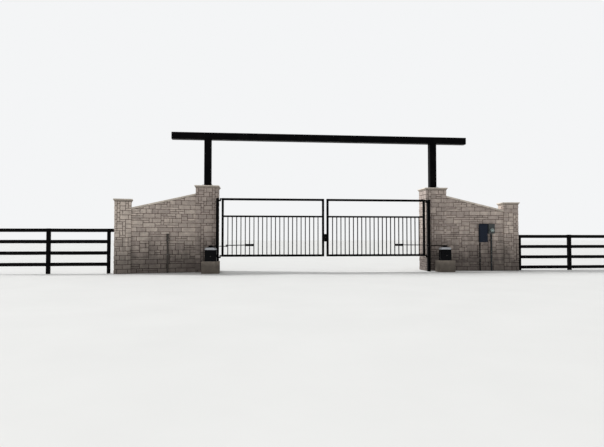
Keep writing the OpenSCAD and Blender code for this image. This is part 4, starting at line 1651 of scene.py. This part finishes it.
@dataclass
class GateOperator:
    """A gate operator: its concrete pad, its moulded case, its crank and its rod."""

    side: Side
    crank_long: float = 0.700
    rod_long: float = 0.880
    straight: float = 0.035
    arm_thick: float = 0.025
    arm_play: float = 0.006
    hub: float = 0.080
    hub_high: float = 0.030
    root: float = 0.096
    tip: float = 0.052
    elbow: float = 0.038
    shaft: float = 0.025
    rod: float = 0.015
    neck: float = 0.034
    neck_long: float = 0.090
    eye: float = 0.028
    pin: float = 0.010
    foot: float = 0.012
    corner: float = 0.095
    case_high: float = 0.490
    shoulder_high: float = 0.080
    shoulder_in: float = 0.050
    lid: float = 0.022
    seam_share: float = 0.60
    lock_high: float = 0.170
    pad_rough: float = 0.0015
    pad_seed: int = 17

    def build(self) -> list[Piece]:
        """Makes the pad, the case, the crank and the rod.

        Returns:
            Four pieces.
        """
        pad, case, crank, rod = (self.side.node(p) for p in ("operator_pad", "operator", "crank", "rod"))
        arm = (ARM_BLACK, WELD, BOLT_STEEL)
        shell = (SHELL_BLACK, SHELL_LID, BOLT_STEEL, RUBBER, SHELL_PAINTED_GLARE)
        return [
            Piece(f"{pad}_concrete", "concrete", self._pad(pad), (CONCRETE,), pad),
            Piece(f"{case}_shell", "operator_shell", self._case(case, pad), shell, case),
            Piece(f"{crank}_arm", "arm_steel", self._crank(), arm, crank, crank),
            Piece(f"{rod}_bar", "arm_steel", self._rod(), arm, rod, rod),
        ]

    def _pad(self, node: str) -> Surface:
        """The pad: a block whose top edge is eased and whose sides waver like cast concrete.

        Args:
            node: Its node.

        Returns:
            The pad.
        """
        box = GATEWAY.box(node)
        wide, deep, tall = box.size
        draw = np.random.default_rng(self.pad_seed + self.side.value)
        outline = rounded_rect(wide, deep, 0.012, 3)
        pairs = zip(outline, np.roll(outline, -1, axis=0))
        dense = np.concatenate([np.linspace(a, b, 6, endpoint=False) for a, b in pairs])
        levels = [(z, 0.0) for z in (0.0, 0.05, 0.12, 0.2, 0.28, 0.34, tall - 0.012)]
        levels += [(tall - 0.004, 0.003), (tall, 0.012), (tall, 0.05), (tall, 0.12)]
        rings = []
        for _, inwards in levels:
            ring = dense * (1 - 2 * inwards / box.size[:2])
            rings.append(ring - np.sign(ring) * self.pad_rough * draw.random((len(ring), 1)))
        return loft(stacked(rings, [z for z, _ in levels])).placed(GATEWAY.at(*box.middle[:2], 0))

    def _arm_foot(self) -> float:
        """Height of the crank's underside, below the rod's."""
        return self.side.joint("rod_turn")[2] - self.arm_thick * 1.5 - self.arm_play

    def _case(self, node: str, pad: str) -> Surface:
        """The case: a drafted body with a parting groove, rounded shoulders in a pale finish that paints
        the sky's glare on the glossy case, a lid and its fittings.

        Args:
            node: Its node.
            pad: The pad's node.

        Returns:
            The case with its collar, shaft, key lock, lid screws and foot bolts.
        """
        box, base = GATEWAY.box(node), GATEWAY.box(pad).hi[2]
        shaft = self.side.joint("crank_turn")
        at = GATEWAY.at(*shaft[:2], 0)
        wide, deep = box.size[0] - 2 * self.foot, 2 * (box.hi[1] - shaft[1] - self.foot)
        foot, top = base + self.foot, base + self.case_high
        lid = top - self.lid
        shoulder = lid - self.shoulder_high
        seam = base + (shoulder - base) * self.seam_share
        body = [
            (foot - 0.001, 0.0), (foot + 0.01, 0.0), (seam - 0.004, 0.002), (seam - 0.003, 0.0055),
            (seam + 0.001, 0.0055), (seam + 0.002, 0.0025), (shoulder, 0.004),
        ]
        rise, draw_in = self.shoulder_high - 0.003, self.shoulder_in - 0.004
        turn = np.linspace(0, np.pi / 2, 12)
        band = [(shoulder - 0.001, 0.007), (shoulder + 0.001, 0.004)]
        band += [(shoulder + 0.003 + rise * math.sin(a), 0.004 + draw_in * (1 - math.cos(a))) for a in turn]
        band.append((lid + 0.0005, self.shoulder_in + 0.02))
        rim = ((lid, 9), (lid + 0.003, 7), (lid + 0.008, 6), (top - 0.007, 7), (top - 0.002, 10), (top, 14))
        cover = [(z, self.shoulder_in + 0.001 * i) for z, i in rim]
        flange = rounded_rect(wide + 2 * self.foot, deep + 2 * self.foot, self.corner + self.foot, 8)
        arm_foot = self._arm_foot()
        hub_foot = arm_foot + self.arm_thick - self.hub_high - 0.001
        out = self.hub + 0.004
        collar = [(out, top - 0.001), (out, top + 0.002), (0.071, top + 0.003), (0.074, top + 0.005)]
        key = at.at(0, 0.004 - deep / 2, base + self.lock_high).turned(Axis.FRONT)
        lid_spots = CORNERS * (wide / 2 - 0.100, deep / 2 - 0.100, top - 0.001)
        foot_spots = CORNERS * (wide / 2 - 0.110, deep / 2 + 0.006, foot - 0.001)
        return join([
            prism(flange, base, foot, 0.004).placed(at, 1),
            self._levels(wide, deep, body).placed(at),
            # The shoulder band takes the pale finish: a painted reflection of the sky.
            self._levels(wide, deep, band).placed(at, 4),
            self._levels(wide, deep, cover).placed(at, 1),
            revolve([*collar, (0.070, hub_foot)], 40).placed(at, 3),
            drum(self.shaft, top - 0.001, arm_foot + self.arm_thick + 0.006, 0.003, 32).placed(at, 2),
            drum(0.022, 0, 0.005).placed(key, 1),
            drum(0.013, 0, 0.009).placed(key, 2),
            prism(rounded_rect(0.0025, 0.013, 0.001), 0, 0.0094, 0.0003, 1).placed(key, 3),
            drum(0.006, 0, 0.005, sides=18).copies(lid_spots).placed(at, 2),
            bolt(0.009, 0.005, 0.0015).copies(foot_spots).placed(at, 2),
        ])

    def _levels(self, wide: float, deep: float, levels: Pairs) -> Surface:
        """A skin over rounded rectangles, one for each pair of height and inset."""
        outlines = [
            rounded_rect(wide - 2 * i, deep - 2 * i, max(self.corner - i * 0.2, 0.02), 9) for _, i in levels
        ]
        return loft(stacked(outlines, [z for z, _ in levels]))

    def _elbow(self) -> tuple[Array, Array, Array]:
        """The elbow lies where the crank's circle and the rod's circle cross.

        Returns:
            Shaft, pivot and elbow.
        """
        shaft, pivot = (self.side.joint(name) for name in ("crank_turn", "rod_turn"))
        apart = pivot[:2] - shaft[:2]
        far = math.hypot(*apart)
        rod = max(self.rod_long, far - self.crank_long + self.straight)
        opening = math.acos((self.crank_long**2 + far**2 - rod**2) / (2 * self.crank_long * far))
        turn = math.atan2(apart[1], apart[0]) + self.side.value * opening
        elbow = shaft[:2] + self.crank_long * np.array([math.cos(turn), math.sin(turn)])
        return shaft, pivot, np.append(elbow, pivot[2])

    @staticmethod
    def _between(start: Array, end: Array, z: float) -> Placement:
        """A frame at start whose x points at end, at a height z."""
        x, y = (end[:2] - start[:2]) / np.linalg.norm(end[:2] - start[:2])
        return Placement((start[0], start[1], z), ((x, y, 0), (-y, x, 0), (0, 0, 1)))

    def _crank(self) -> Surface:
        """The crank: a hub on the shaft, a tapered plate with a round tip, and the elbow's nut.

        Returns:
            The crank at rest.
        """
        shaft, _, elbow = self._elbow()
        at = self._between(shaft, elbow, self._arm_foot())
        top, bore, low = self.arm_thick, self.shaft + BORE_PLAY, self.arm_thick - self.hub_high
        hub = [(bore, low), *rim_profile(self.hub, low, top, 0.003), (bore, top)]
        meet = math.pi - math.asin(self.tip / 2 / self.elbow)
        arc = np.linspace(-meet, meet, 25)
        tip = self.elbow * np.stack([np.cos(arc), np.sin(arc)], axis=1) + (self.crank_long, 0)
        root = self.hub * 0.86
        half = self.root / 2 - (self.root - self.tip) / 2 * root / self.crank_long
        outline = np.vstack([tip, [root, half], [root, -half]])
        end = Placement(at.out(np.array([self.crank_long, 0, 0]))).turned(Axis.DOWN)
        flank = at.at(0, self.hub - 0.001, (low + top) / 2).turned(Axis.BACK)
        return join([
            revolve(hub, 48, looped=True).placed(at),
            prism(outline, 0.0, top, 0.003).placed(at),
            weld_bead(circle(self.hub, 40), top, 0.0018).placed(at, 1),
            bolt(0.036, 0.011).placed(end, 2),
            bolt(0.016, 0.007).placed(flank, 2),
        ])

    def _rod(self) -> Surface:
        """The rod: an eye on the bracket's pin, flat necks, a tube with lock nuts and the elbow's bolt.

        Returns:
            The rod at rest.
        """
        _, pivot, elbow = self._elbow()
        span = float(np.linalg.norm(elbow[:2] - pivot[:2]))
        thick, long, bore, drawn = self.arm_thick, self.neck_long, self.pin + BORE_PLAY, self.eye * 0.93
        at = self._between(pivot, elbow, pivot[2] - thick / 2)
        rim = [(drawn, 0), (self.eye, 0.002), (self.eye, thick - 0.002), (drawn, thick)]
        start = self.eye * 0.8
        near = rounded_rect(long - start, self.neck, 0.004) + ((start + long) / 2, 0)
        far = rounded_rect(long, self.neck, 0.004) + (span - long / 2, 0)
        bar = at.at(0, 0, thick / 2).turned(Axis.X)
        nut = prism(circle(self.rod * 1.16, 6) @ np.array([[0, 1], [-1, 0]]), 0, 0.016, 0.0012, 1)
        ends = np.array([(0, 0, long - 0.002), (0, 0, span - long - 0.014)])
        return join([
            revolve([*rim, (bore, thick), (bore, 0)], 32, looped=True).placed(at),
            *(prism(neck, 0.0005, thick - 0.0005).placed(at) for neck in (near, far)),
            prism(circle(self.elbow, 36), 0, thick, 0.003).moved(span, 0, 0).placed(at),
            drum(self.rod, long - self.rod, span - long + self.rod, 0.003).placed(bar),
            nut.copies(ends).placed(bar, 2),
            bolt(0.036, 0.011).moved(span, 0, thick).placed(at, 2),
        ])


@dataclass
class RailFence:
    """The black rail fence beside one outer pillar."""

    side: Side
    lift: float = 0.0
    deep: float = 0.118
    ease: float = 0.004
    bow: float = 0.0025
    lie: float = 0.8
    lean: float = 0.5
    shed: float = 0.008
    shed_high: float = 0.012
    step: float = 0.12
    nail: float = 0.0045
    nail_in: float = 0.028
    post_tones: float = 0.37
    board_tones: tuple[float, float] = (0.29, 0.13)

    def build(self) -> list[Piece]:
        """Makes the posts, the rails of the near bay and those of the far bay.

        Returns:
            Three pieces.
        """
        posts, *rails = (self.side.node(p) for p in ("fence_posts", "near_rails", "far_rails"))
        timber, boarding = (POST_TIMBER, BOLT_STEEL), (BOARD, BOLT_STEEL)
        return [
            Piece(f"{posts}_timber", "fence_black", self._posts(posts), timber, posts),
            *(
                Piece(f"{node}_boards", "fence_black", self._boards(node, posts), boarding, node)
                for node in rails
            ),
        ]

    @staticmethod
    def _runs(points: Array, axis: int) -> Iterable[tuple[float, float, Array]]:
        """Stretches that solids cover along an axis, from the ends of their edges.

        Args:
            points: Their points.
            axis: 0 for X, 2 for Z.

        Yields:
            Low, high and the points between them, in order.
        """
        values = np.unique(np.round(points[:, axis], 4))
        for low, high in zip(values[::2], values[1::2]):
            inside = (points[:, axis] > low - 0.001) & (points[:, axis] < high + 0.001)
            yield float(low), float(high), points[inside]

    def _posts(self, node: str) -> Surface:
        """Square posts with eased edges, whose tops are cut to shed water.

        Args:
            node: Their node.

        Returns:
            All posts.
        """
        y = GATEWAY.box(node).middle[1]
        rail_top = GATEWAY.box(self.side.node("near_rails")).hi[2] + self.lift
        parts = []
        for number, (x0, x1, inside) in enumerate(self._runs(GATEWAY.points(node), 0)):
            top = inside[:, 2].max()
            if top < rail_top:
                top = rail_top - self.deep
            outline = rounded_rect(x1 - x0, x1 - x0, self.ease, 3)
            levels = np.append(np.linspace(0, top - self.shed_high, 14), [top - self.ease, top])
            rings = stacked([*[outline] * (len(levels) - 1), inset(outline, self.shed)], levels)
            sway = np.sin(levels / top * np.pi) * self.bow * (1 if number % 2 else -1)
            rings[:, :, 1] += sway[:, None] * self.lean
            post = loft(rings).placed(GATEWAY.at((x0 + x1) / 2, y, 0))
            parts.append(post.toned((number * self.post_tones) % 1))
        return join(parts)

    def _boards(self, node: str, posts: str) -> Surface:
        """Boards with eased edges that bow a little between the posts, nailed near each post.

        Args:
            node: The rails' node.
            posts: The posts' node.

        Returns:
            The boards and the heads of their nails.
        """
        box = GATEWAY.box(node)
        faces = np.array([run[:2] for run in self._runs(GATEWAY.points(posts), 0)]).ravel()
        outline = rounded_rect(box.size[1], self.deep, self.ease, 3)
        parts, heads = [], []
        for number, (_, high, inside) in enumerate(self._runs(GATEWAY.points(node), 2)):
            x0, x1 = inside[:, 0].min(), inside[:, 0].max()
            z1 = high + self.lift
            z0 = z1 - self.deep
            x = np.linspace(x0, x1, max(4, round((x1 - x0) / self.step)))[:, None]
            bow = np.sin((x - x0) / (x1 - x0) * np.pi) * self.bow * (-1 if number % 2 else 1)
            y = box.middle[1] + outline[:, 0] + bow
            z = (z0 + z1) / 2 + outline[:, 1] + bow * self.lie
            board = loft(np.stack([np.broadcast_to(x, y.shape), y, z], axis=-1))
            step, first = self.board_tones
            parts.append(board.toned((number * step + first) % 1))
            for end, way in ((x0, 1), (x1, -1)):
                if np.abs(faces - end).min() < 0.002:
                    spots = [z0 + self.deep * share for share in (0.25, 0.75)]
                    heads += [(end + way * self.nail_in, box.lo[1], spot) for spot in spots]
        nail = revolve([(self.nail, 0), (self.nail, 0.0006), (self.nail * 0.6, 0.0014)], 10)
        nails = nail.placed(GATEWAY.turned(Axis.FRONT)).copies(np.array(heads))
        return join([*parts, nails.dressed(1)])


@dataclass
class Electrics:
    """The panel, the meter and their conduits on the right wing wall."""

    place: Placement
    sheet: float = 0.004
    lip: float = 0.003
    door_out: float = 0.010
    latch_up: float = 0.055
    hub_rim: float = 0.007
    coupling_share: float = 0.42
    clamp_first: float = 0.30
    clamp_every: float = 0.42
    clamp_thick: float = 0.003
    clamp_high: float = 0.024
    clamp_foot: float = 0.026
    nipple_in: float = 0.046
    nipple: float = 0.022
    glass_wall: float = 0.004
    glass_round: float = 0.030
    glass_rim: float = 0.009

    def build(self) -> list[Piece]:
        """Makes the boxes, the glass and the conduits.

        Returns:
            Six pieces.
        """
        slate = (PANEL_SLATE, BOLT_STEEL, CONDUIT_DARK)
        socket = (SOCKET_GREY, BOLT_STEEL, DIAL_PALE, CONDUIT_GREY)
        dark, pale = (CONDUIT_DARK, BOLT_STEEL), (CONDUIT_GREY, BOLT_STEEL)
        grey = "enclosure_grey"
        rows = (
            ("panel_box", "case", grey, self._panel_box(), slate),
            ("panel_door", "sheet", grey, self._panel_door(), slate),
            ("panel_conduit", "pipe", grey, self._conduit("panel_conduit"), dark),
            ("meter_socket", "case", grey, self._meter_socket(), socket),
            ("meter_glass", "dome", "meter_glass", self._meter_glass(), (METER_GLASS,)),
            ("meter_conduit", "pipe", grey, self._conduit("meter_conduit"), pale),
        )
        return [Piece(f"{node}_{word}", slot, made, look, node) for node, word, slot, made, look in rows]

    def _front(self, x: float, y: float, z: float) -> Placement:
        """A frame on a box's front: x along the wall, y up, z out towards the front."""
        return self.place.at(x, y, z).turned(Axis.FRONT)

    def _sheet_box(self, lo: Sequence[float], hi: Sequence[float], corner: float) -> Surface:
        """A sheet-metal box with rounded edges on its front and sides.

        Args:
            lo: Its lowest corner.
            hi: Its highest corner.
            corner: Radius of its edges.

        Returns:
            The box.
        """
        box = Box(np.array(lo), np.array(hi))
        sides = prism(rounded_rect(box.size[0], box.size[2], corner), 0, box.size[1], corner * 0.8, 3)
        return sides.placed(self._front(box.middle[0], box.hi[1], box.middle[2]))

    def _panel_box(self) -> Surface:
        """The panel's box under its rain hood, with the hood's lip and a hub below.

        Returns:
            The box.
        """
        box, door = self.place.box("panel_box"), self.place.box("panel_door")
        x, y, _ = box.middle
        wide, deep, _ = box.size
        body_lo = (door.lo[0] + self.sheet, door.hi[1], box.lo[2])
        body_hi = (door.hi[0] - self.sheet, box.hi[1], door.hi[2])
        roof = prism(rounded_rect(wide, deep, 0.006), door.hi[2], box.hi[2])
        lip = prism(rounded_rect(wide, 0.018, 0.003), 0, self.sheet, 0.001)
        hub = self.place.at(body_hi[0] - 0.07, (door.hi[1] + box.hi[1]) / 2, box.lo[2])
        return join([
            self._sheet_box(body_lo, body_hi, 0.005),
            roof.placed(self.place.at(x, y, 0)),
            lip.placed(self._front(x, box.lo[1] + self.sheet, box.hi[2] - 0.010)),
            drum(0.030, -0.004, 0, 0.001, 24).placed(hub, 1),
        ])

    def _panel_door(self) -> Surface:
        """The door: a lapped sheet with a raised field, a hinge down its left edge and a latch.

        Returns:
            The door.
        """
        box = self.place.box("panel_door")
        face = self.place.box("panel_box").lo[1] + self.door_out
        wide, _, tall = box.size
        front = self._front(box.middle[0], face, box.middle[2])
        latch = front.at(0, self.latch_up - tall / 2, 0)
        knuckle = drum(0.0065, -0.03, 0.03, 0.001, 16)
        heights = [box.lo[2] + tall * share for share in (0.12, 0.5, 0.88)]
        spots = CORNERS * (wide / 2 - 0.012, tall / 2 - 0.014, 0)
        screws = drum(0.0045, 0, 0.0025, 0.0008, 14).copies(spots)
        return join([
            self._sheet_box((box.lo[0], face, box.lo[2]), box.hi, 0.005),
            prism(rounded_rect(wide - 0.05, tall - 0.06, 0.012), -0.001, 0.0028, 0.0018, 3).placed(front),
            prism(rounded_rect(0.044, 0.030, 0.005), 0, 0.009).placed(latch),
            prism(rounded_rect(0.010, 0.022, 0.003), 0, 0.0115, 0.001).placed(latch, 1),
            *(knuckle.placed(self.place.at(box.lo[0] + 0.002, face + 0.004, z)) for z in heights),
            screws.placed(front, 1),
        ])

    def _conduit(self, node: str) -> Surface:
        """A conduit with its threaded hub, a coupling, and clamps that hold it to the wall.

        Args:
            node: Its node.

        Returns:
            The conduit.
        """
        box = self.place.box(node)
        top, hub = box.hi[2], box.size[0] / 2
        r, joint = hub - self.hub_rim, top * self.coupling_share
        at = self.place.at(*box.middle[:2], 0)
        rim = ((0.0005, 0), (0.004, 0.003), (0.004, 0.045), (0.0005, 0.048))
        sleeve = [(r + out, joint + z) for out, z in rim]
        clamps = np.arange(self.clamp_first, top - 0.12, self.clamp_every)
        return join([
            revolve([(r, 0), (r, top - 0.03)], 32).placed(at),
            revolve(rim_profile(hub, top - 0.030, top - 0.004, 0.002), 32).placed(at, 1),
            revolve(sleeve, 32).placed(at, 1),
            *(self._clamp(at.at(0, 0, z), r, box.middle[1]).dressed(1) for z in clamps),
        ])

    def _clamp(self, at: Placement, r: float, y: float) -> Surface:
        """A two-hole clamp: a strip that bends over the conduit and lies on the wall at both sides.

        Args:
            at: The conduit's middle at the clamp's height.
            r: Radius of the conduit.
            y: How deep the conduit's middle lies in the wall's frame.

        Returns:
            The strip and its two screws.
        """
        half, foot = self.clamp_thick / 2, self.clamp_foot
        turn = np.linspace(-np.pi / 2, np.pi / 2, 17)
        reach = self.place.box("right_wing_wall").lo[1] - y
        over = (r + half) * np.stack([np.sin(turn), -np.cos(turn)], axis=1)
        left = np.array([[-r - foot, reach], [-r - 0.004, reach], [-r - half, reach - 0.004]])
        line = np.vstack([left, over, left[::-1] * (-1, 1)])
        normal = right_of(np.gradient(line, axis=0))
        edges = [line + way * half * normal for way in (-1, 1, 1, -1)]
        rings = stacked(edges, [z * self.clamp_high / 2 for z in (-1, -1, 1, 1)])
        screw = drum(0.005, 0, 0.003, 0.001, 14)
        spots = [at.at(way * (r + foot * 0.62), reach - half, 0).turned(Axis.FRONT) for way in (-1, 1)]
        return join([loft(rings.swapaxes(0, 1)).placed(at), *(screw.placed(spot) for spot in spots)])

    def _meter_socket(self) -> Surface:
        """The meter's socket: the box, its top lip, the raised ring, the dial plate and the nipple.

        Returns:
            The socket.
        """
        box, glass = self.place.box("meter_socket"), self.place.box("meter_glass")
        panel_edge = self.place.box("panel_door").hi[0] - self.sheet
        x, _, z = glass.middle
        r, face = glass.size[2] / 2, box.lo[1] + self.lip
        left, right = x - (box.hi[0] - self.lip - x), box.hi[0] - self.lip
        front = self._front(x, face, z)
        collar = [(r + 0.004, -0.002), (r + 0.004, 0.003), (r + 0.001, 0.008), (r - 0.012, 0.0085)]
        window = prism(rounded_rect(r * 0.62, 0.014, 0.003), 0.053, 0.0565, 0.0008)
        run_z, length = box.lo[2] + box.size[2] * 0.75, left - panel_edge
        run = self.place.at(panel_edge, box.hi[1] - self.nipple_in, run_z).turned(Axis.X)
        ends = np.array([(0, 0, 0.001), (0, 0, length - 0.009)])
        nuts = prism(circle(0.031, 8), 0, 0.008, 0.001, 1).copies(ends)
        return join([
            self._sheet_box((left, face, box.lo[2]), (right, box.hi[1], box.hi[2] - 0.002), 0.006),
            self._sheet_box((left - self.lip, box.lo[1], box.hi[2] - 0.040), box.hi, 0.005),
            revolve(collar, 48).placed(front),
            revolve([(r * 0.78, 0.004), (r * 0.78, 0.030), (r * 0.74, 0.034)], 40).placed(front, 3),
            revolve([(r * 0.62, 0.030), (r * 0.62, 0.052), (r * 0.60, 0.054)], 40).placed(front, 2),
            window.copies(np.array([(0, 0.022, 0), (0, -0.026, 0)])).placed(front, 3),
            drum(0.0045, 0.053, 0.060, 0.001, 16).moved(0, -0.002, 0).placed(front, 1),
            drum(self.nipple, 0, length, 0.001).placed(run, 3),
            nuts.placed(run, 1),
        ])

    def _meter_glass(self) -> Surface:
        """The glass: an outer and an inner skin of the same bell, joined at the rim.

        Returns:
            The glass.
        """
        box = self.place.box("meter_glass")
        r, deep, bend, wall = box.size[2] / 2, box.size[1], self.glass_round, self.glass_wall
        bell, pole = r - self.glass_rim, 0.002
        bends = [(bend * (1 - math.cos(a)), bend * (1 - math.sin(a))) for a in np.linspace(0, np.pi / 2, 9)]
        outer = [(r, 0.006), (r, 0.016), (r - 0.003, 0.020), (bell + 0.001, 0.021), (bell, 0.026)]
        outer += [(bell - f, deep - b) for f, b in bends]
        inner = [(bell - wall - f, deep - wall - b) for f, b in bends[::-1]]
        inner += [(bell - wall, 0.026), (bell - wall, 0.006)]
        profile = [*outer, (pole, deep), (pole, deep - wall), *inner]
        back = self._front(box.middle[0], box.hi[1], box.middle[2])
        return revolve(profile, 48, looped=True).placed(back)


@dataclass
class WallRiser:
    """The riser that stands in front of the left wing wall."""

    place: Placement
    corner: float = 0.006
    stem: float = 0.056
    head_high: float = 0.130
    cap_high: float = 0.035
    clamps: tuple[float, float] = (0.62, 1.12)
    strap: float = 0.022
    ear: float = 0.030

    def build(self) -> list[Piece]:
        """Makes a stem under a wider head with its cap, and the clamps that hold the stem.

        Returns:
            One piece.
        """
        box = self.place.box("wall_riser")
        wide, deep, _ = box.size
        x, y, top = *box.middle[:2], box.hi[2]
        at, neck = self.place.at(x, y, 0), top - self.head_high
        strap = rounded_rect(self.stem + 0.006, deep + 0.004, self.corner)
        ear = prism(rounded_rect(self.ear, self.strap, 0.004), 0, 0.003, 0.001)
        screwed = join([ear, drum(0.0045, 0.002, 0.0055, 0.001, 14)])
        parts = [
            prism(rounded_rect(self.stem, deep, self.corner), 0, neck + 0.001).placed(at),
            prism(rounded_rect(wide, deep, self.corner), neck, top - 0.003, 0.003).placed(at),
            prism(rounded_rect(wide + 0.006, deep + 0.003, self.corner), top - self.cap_high, top, 0.003)
            .placed(at.at(0, -0.0015, 0)),
        ]
        for z in self.clamps:
            parts.append(prism(strap, z, z + self.strap, 0.001).placed(at.at(0, 0.001, 0), 1))
            for way in (-1, 1):
                aside = way * (self.stem / 2 + 0.013)
                spot = self.place.at(x + aside, box.hi[1] - 0.0015, z + self.strap / 2)
                parts.append(screwed.placed(spot.turned(Axis.FRONT), 1))
        finishes = (RISER_BROWN, BOLT_STEEL)
        return [Piece("wall_riser_post", "enclosure_grey", join(parts), finishes, "wall_riser")]


@dataclass(frozen=True)
class Lamp:
    """A soft distant lamp: where its light comes from, its strength, and how wide it looks in degrees."""

    name: str
    origin: tuple[float, float, float]
    level: float
    spread: float

    def put(self) -> None:
        """Makes the lamp."""
        lamp = bpy.data.lights.new(self.name, "SUN")
        lamp.energy = self.level
        lamp.angle = math.radians(self.spread)
        x, y, z = self.origin
        stand(self.name, lamp).rotation_euler = (math.atan2(math.hypot(x, y), z), 0, math.atan2(x, -y))


@dataclass
class Studio:
    """The floor, the light and the camera."""

    eye: tuple[float, float, float] = (-2.530, -17.610, 1.175)
    yaw: float = 5.592
    pitch: float = 1.808
    lens: float = 29.25
    far: float = 1000.0
    floor_reach: float = 400.0
    floor_points: int = 41
    backdrop: Colour = (244, 245, 246)
    sky: tuple[float, float] = (0.28, 0.55)
    sky_back: float = 0.40
    lamps: tuple[Lamp, ...] = (
        Lamp("key", (-0.80, 0.22, 0.50), 3.00, 10.0),
        Lamp("top", (-0.10, 0.48, 0.86), 0.32, 12.0),
        Lamp("fill", (-0.35, -0.85, 0.40), 0.30, 45.0),
    )

    def build(self) -> None:
        """Sets up the stage."""
        self._floor()
        self._world()
        for lamp in self.lamps:
            lamp.put()
        self._camera()
        bpy.context.scene.view_settings.view_transform = "Standard"

    def _floor(self) -> None:
        """A flat grid at the ground, whose spacing grows with the cube of the distance."""
        n = self.floor_points
        line = self.floor_reach * np.linspace(-1, 1, n) ** 3
        x, y = np.meshgrid(line, line, indexing="ij")
        points = np.stack([x, y, np.zeros_like(x)], axis=-1).reshape(-1, 3)
        mesh = bpy.data.meshes.new("floor")
        mesh.from_pydata(points.tolist(), [], grid_faces(n, n)[:, ::-1].tolist())
        mesh.materials.append(FloorFinish("floor").material())
        floor = stand("floor", mesh)

    def _world(self) -> None:
        """A pale room: it lights the gateway more from above and from behind, and is even where it
        is seen."""
        world = bpy.data.worlds.new("studio")
        world.use_nodes = True
        bpy.context.scene.world = world
        nodes = Nodes(world.node_tree)
        path = nodes.add("LightPath").outputs
        seen = nodes.calc("MAXIMUM", path["Is Camera Ray"], path["Is Transmission Ray"])
        way = nodes.split(nodes.add("TexCoord").outputs["Generated"])
        rise = nodes.spread(way[2], *self.sky, 0.0, 1.0)
        behind = nodes.spread(way[1], 0.0, self.sky_back, 0.0, 1.0)
        colour = linear(self.backdrop)
        light = nodes.add("Background", {"Color": colour, "Strength": nodes.calc("ADD", rise, behind)})
        show = nodes.add("Background", {"Color": colour})
        mix = nodes.add("MixShader", {0: seen, 1: light.outputs[0], 2: show.outputs[0]})
        nodes.add("OutputWorld", {0: mix.outputs[0]})

    def _camera(self) -> None:
        """The camera, level with the eye of someone in a car on the driveway."""
        data = bpy.data.cameras.new("camera")
        data.lens = self.lens
        data.clip_end = self.far
        camera = stand("camera", data)
        camera.location = self.eye
        camera.rotation_euler = (math.radians(90 + self.pitch), 0, math.radians(-self.yaw))
        bpy.context.scene.camera = camera


def build_pieces() -> list[Piece]:
    """Builds every class, from the stonework to the small parts.

    Returns:
        The pieces in order.
    """
    splay = {Side.LEFT: 12.0, Side.RIGHT: 5.0}
    # The left wall and the left outer pillar get paler stone than the right ones: painted light, for the
    # brighter light that falls on the left side.
    pale_wall_with_light, pale_outer_with_light = {Side.LEFT: 0.77, Side.RIGHT: 0.64}, {Side.LEFT: 1.10, Side.RIGHT: 0.70}
    rail_lift = {Side.LEFT: 0.0, Side.RIGHT: 0.012}
    walls = {side: wall_place(side, splay[side]) for side in Side}
    found: list[Piece] = []
    for side in Side:
        found += Pillar(side, PillarKind.MAIN, GATEWAY, StoneFacing(0.48)).build()
        found += Pillar(side, PillarKind.OUTER, walls[side], StoneFacing(pale_outer_with_light[side])).build()
        found += WingWall(side, walls[side], splay[side], StoneFacing(pale_wall_with_light[side])).build()
    found += HeaderBeam().build()
    for side in Side:
        found += HingePost(side, Hinge()).build()
        found += GateLeaf(side, Hinge()).build()
        found += GateOperator(side).build()
        found += RailFence(side, rail_lift[side]).build()
    found += GateLock().build()
    found += Electrics(walls[Side.RIGHT]).build()
    found += WallRiser(walls[Side.LEFT]).build()
    return found


def main() -> None:
    """Builds the gateway and its studio."""
    logging.basicConfig(level=logging.INFO, format="%(name)s: %(message)s")
    for piece in build_pieces():
        piece.put()
        log.info("%s: %d faces on %s", piece.name, len(piece.surface.sizes), piece.body)
    Studio().build()


if __name__ == "__main__":
    main()
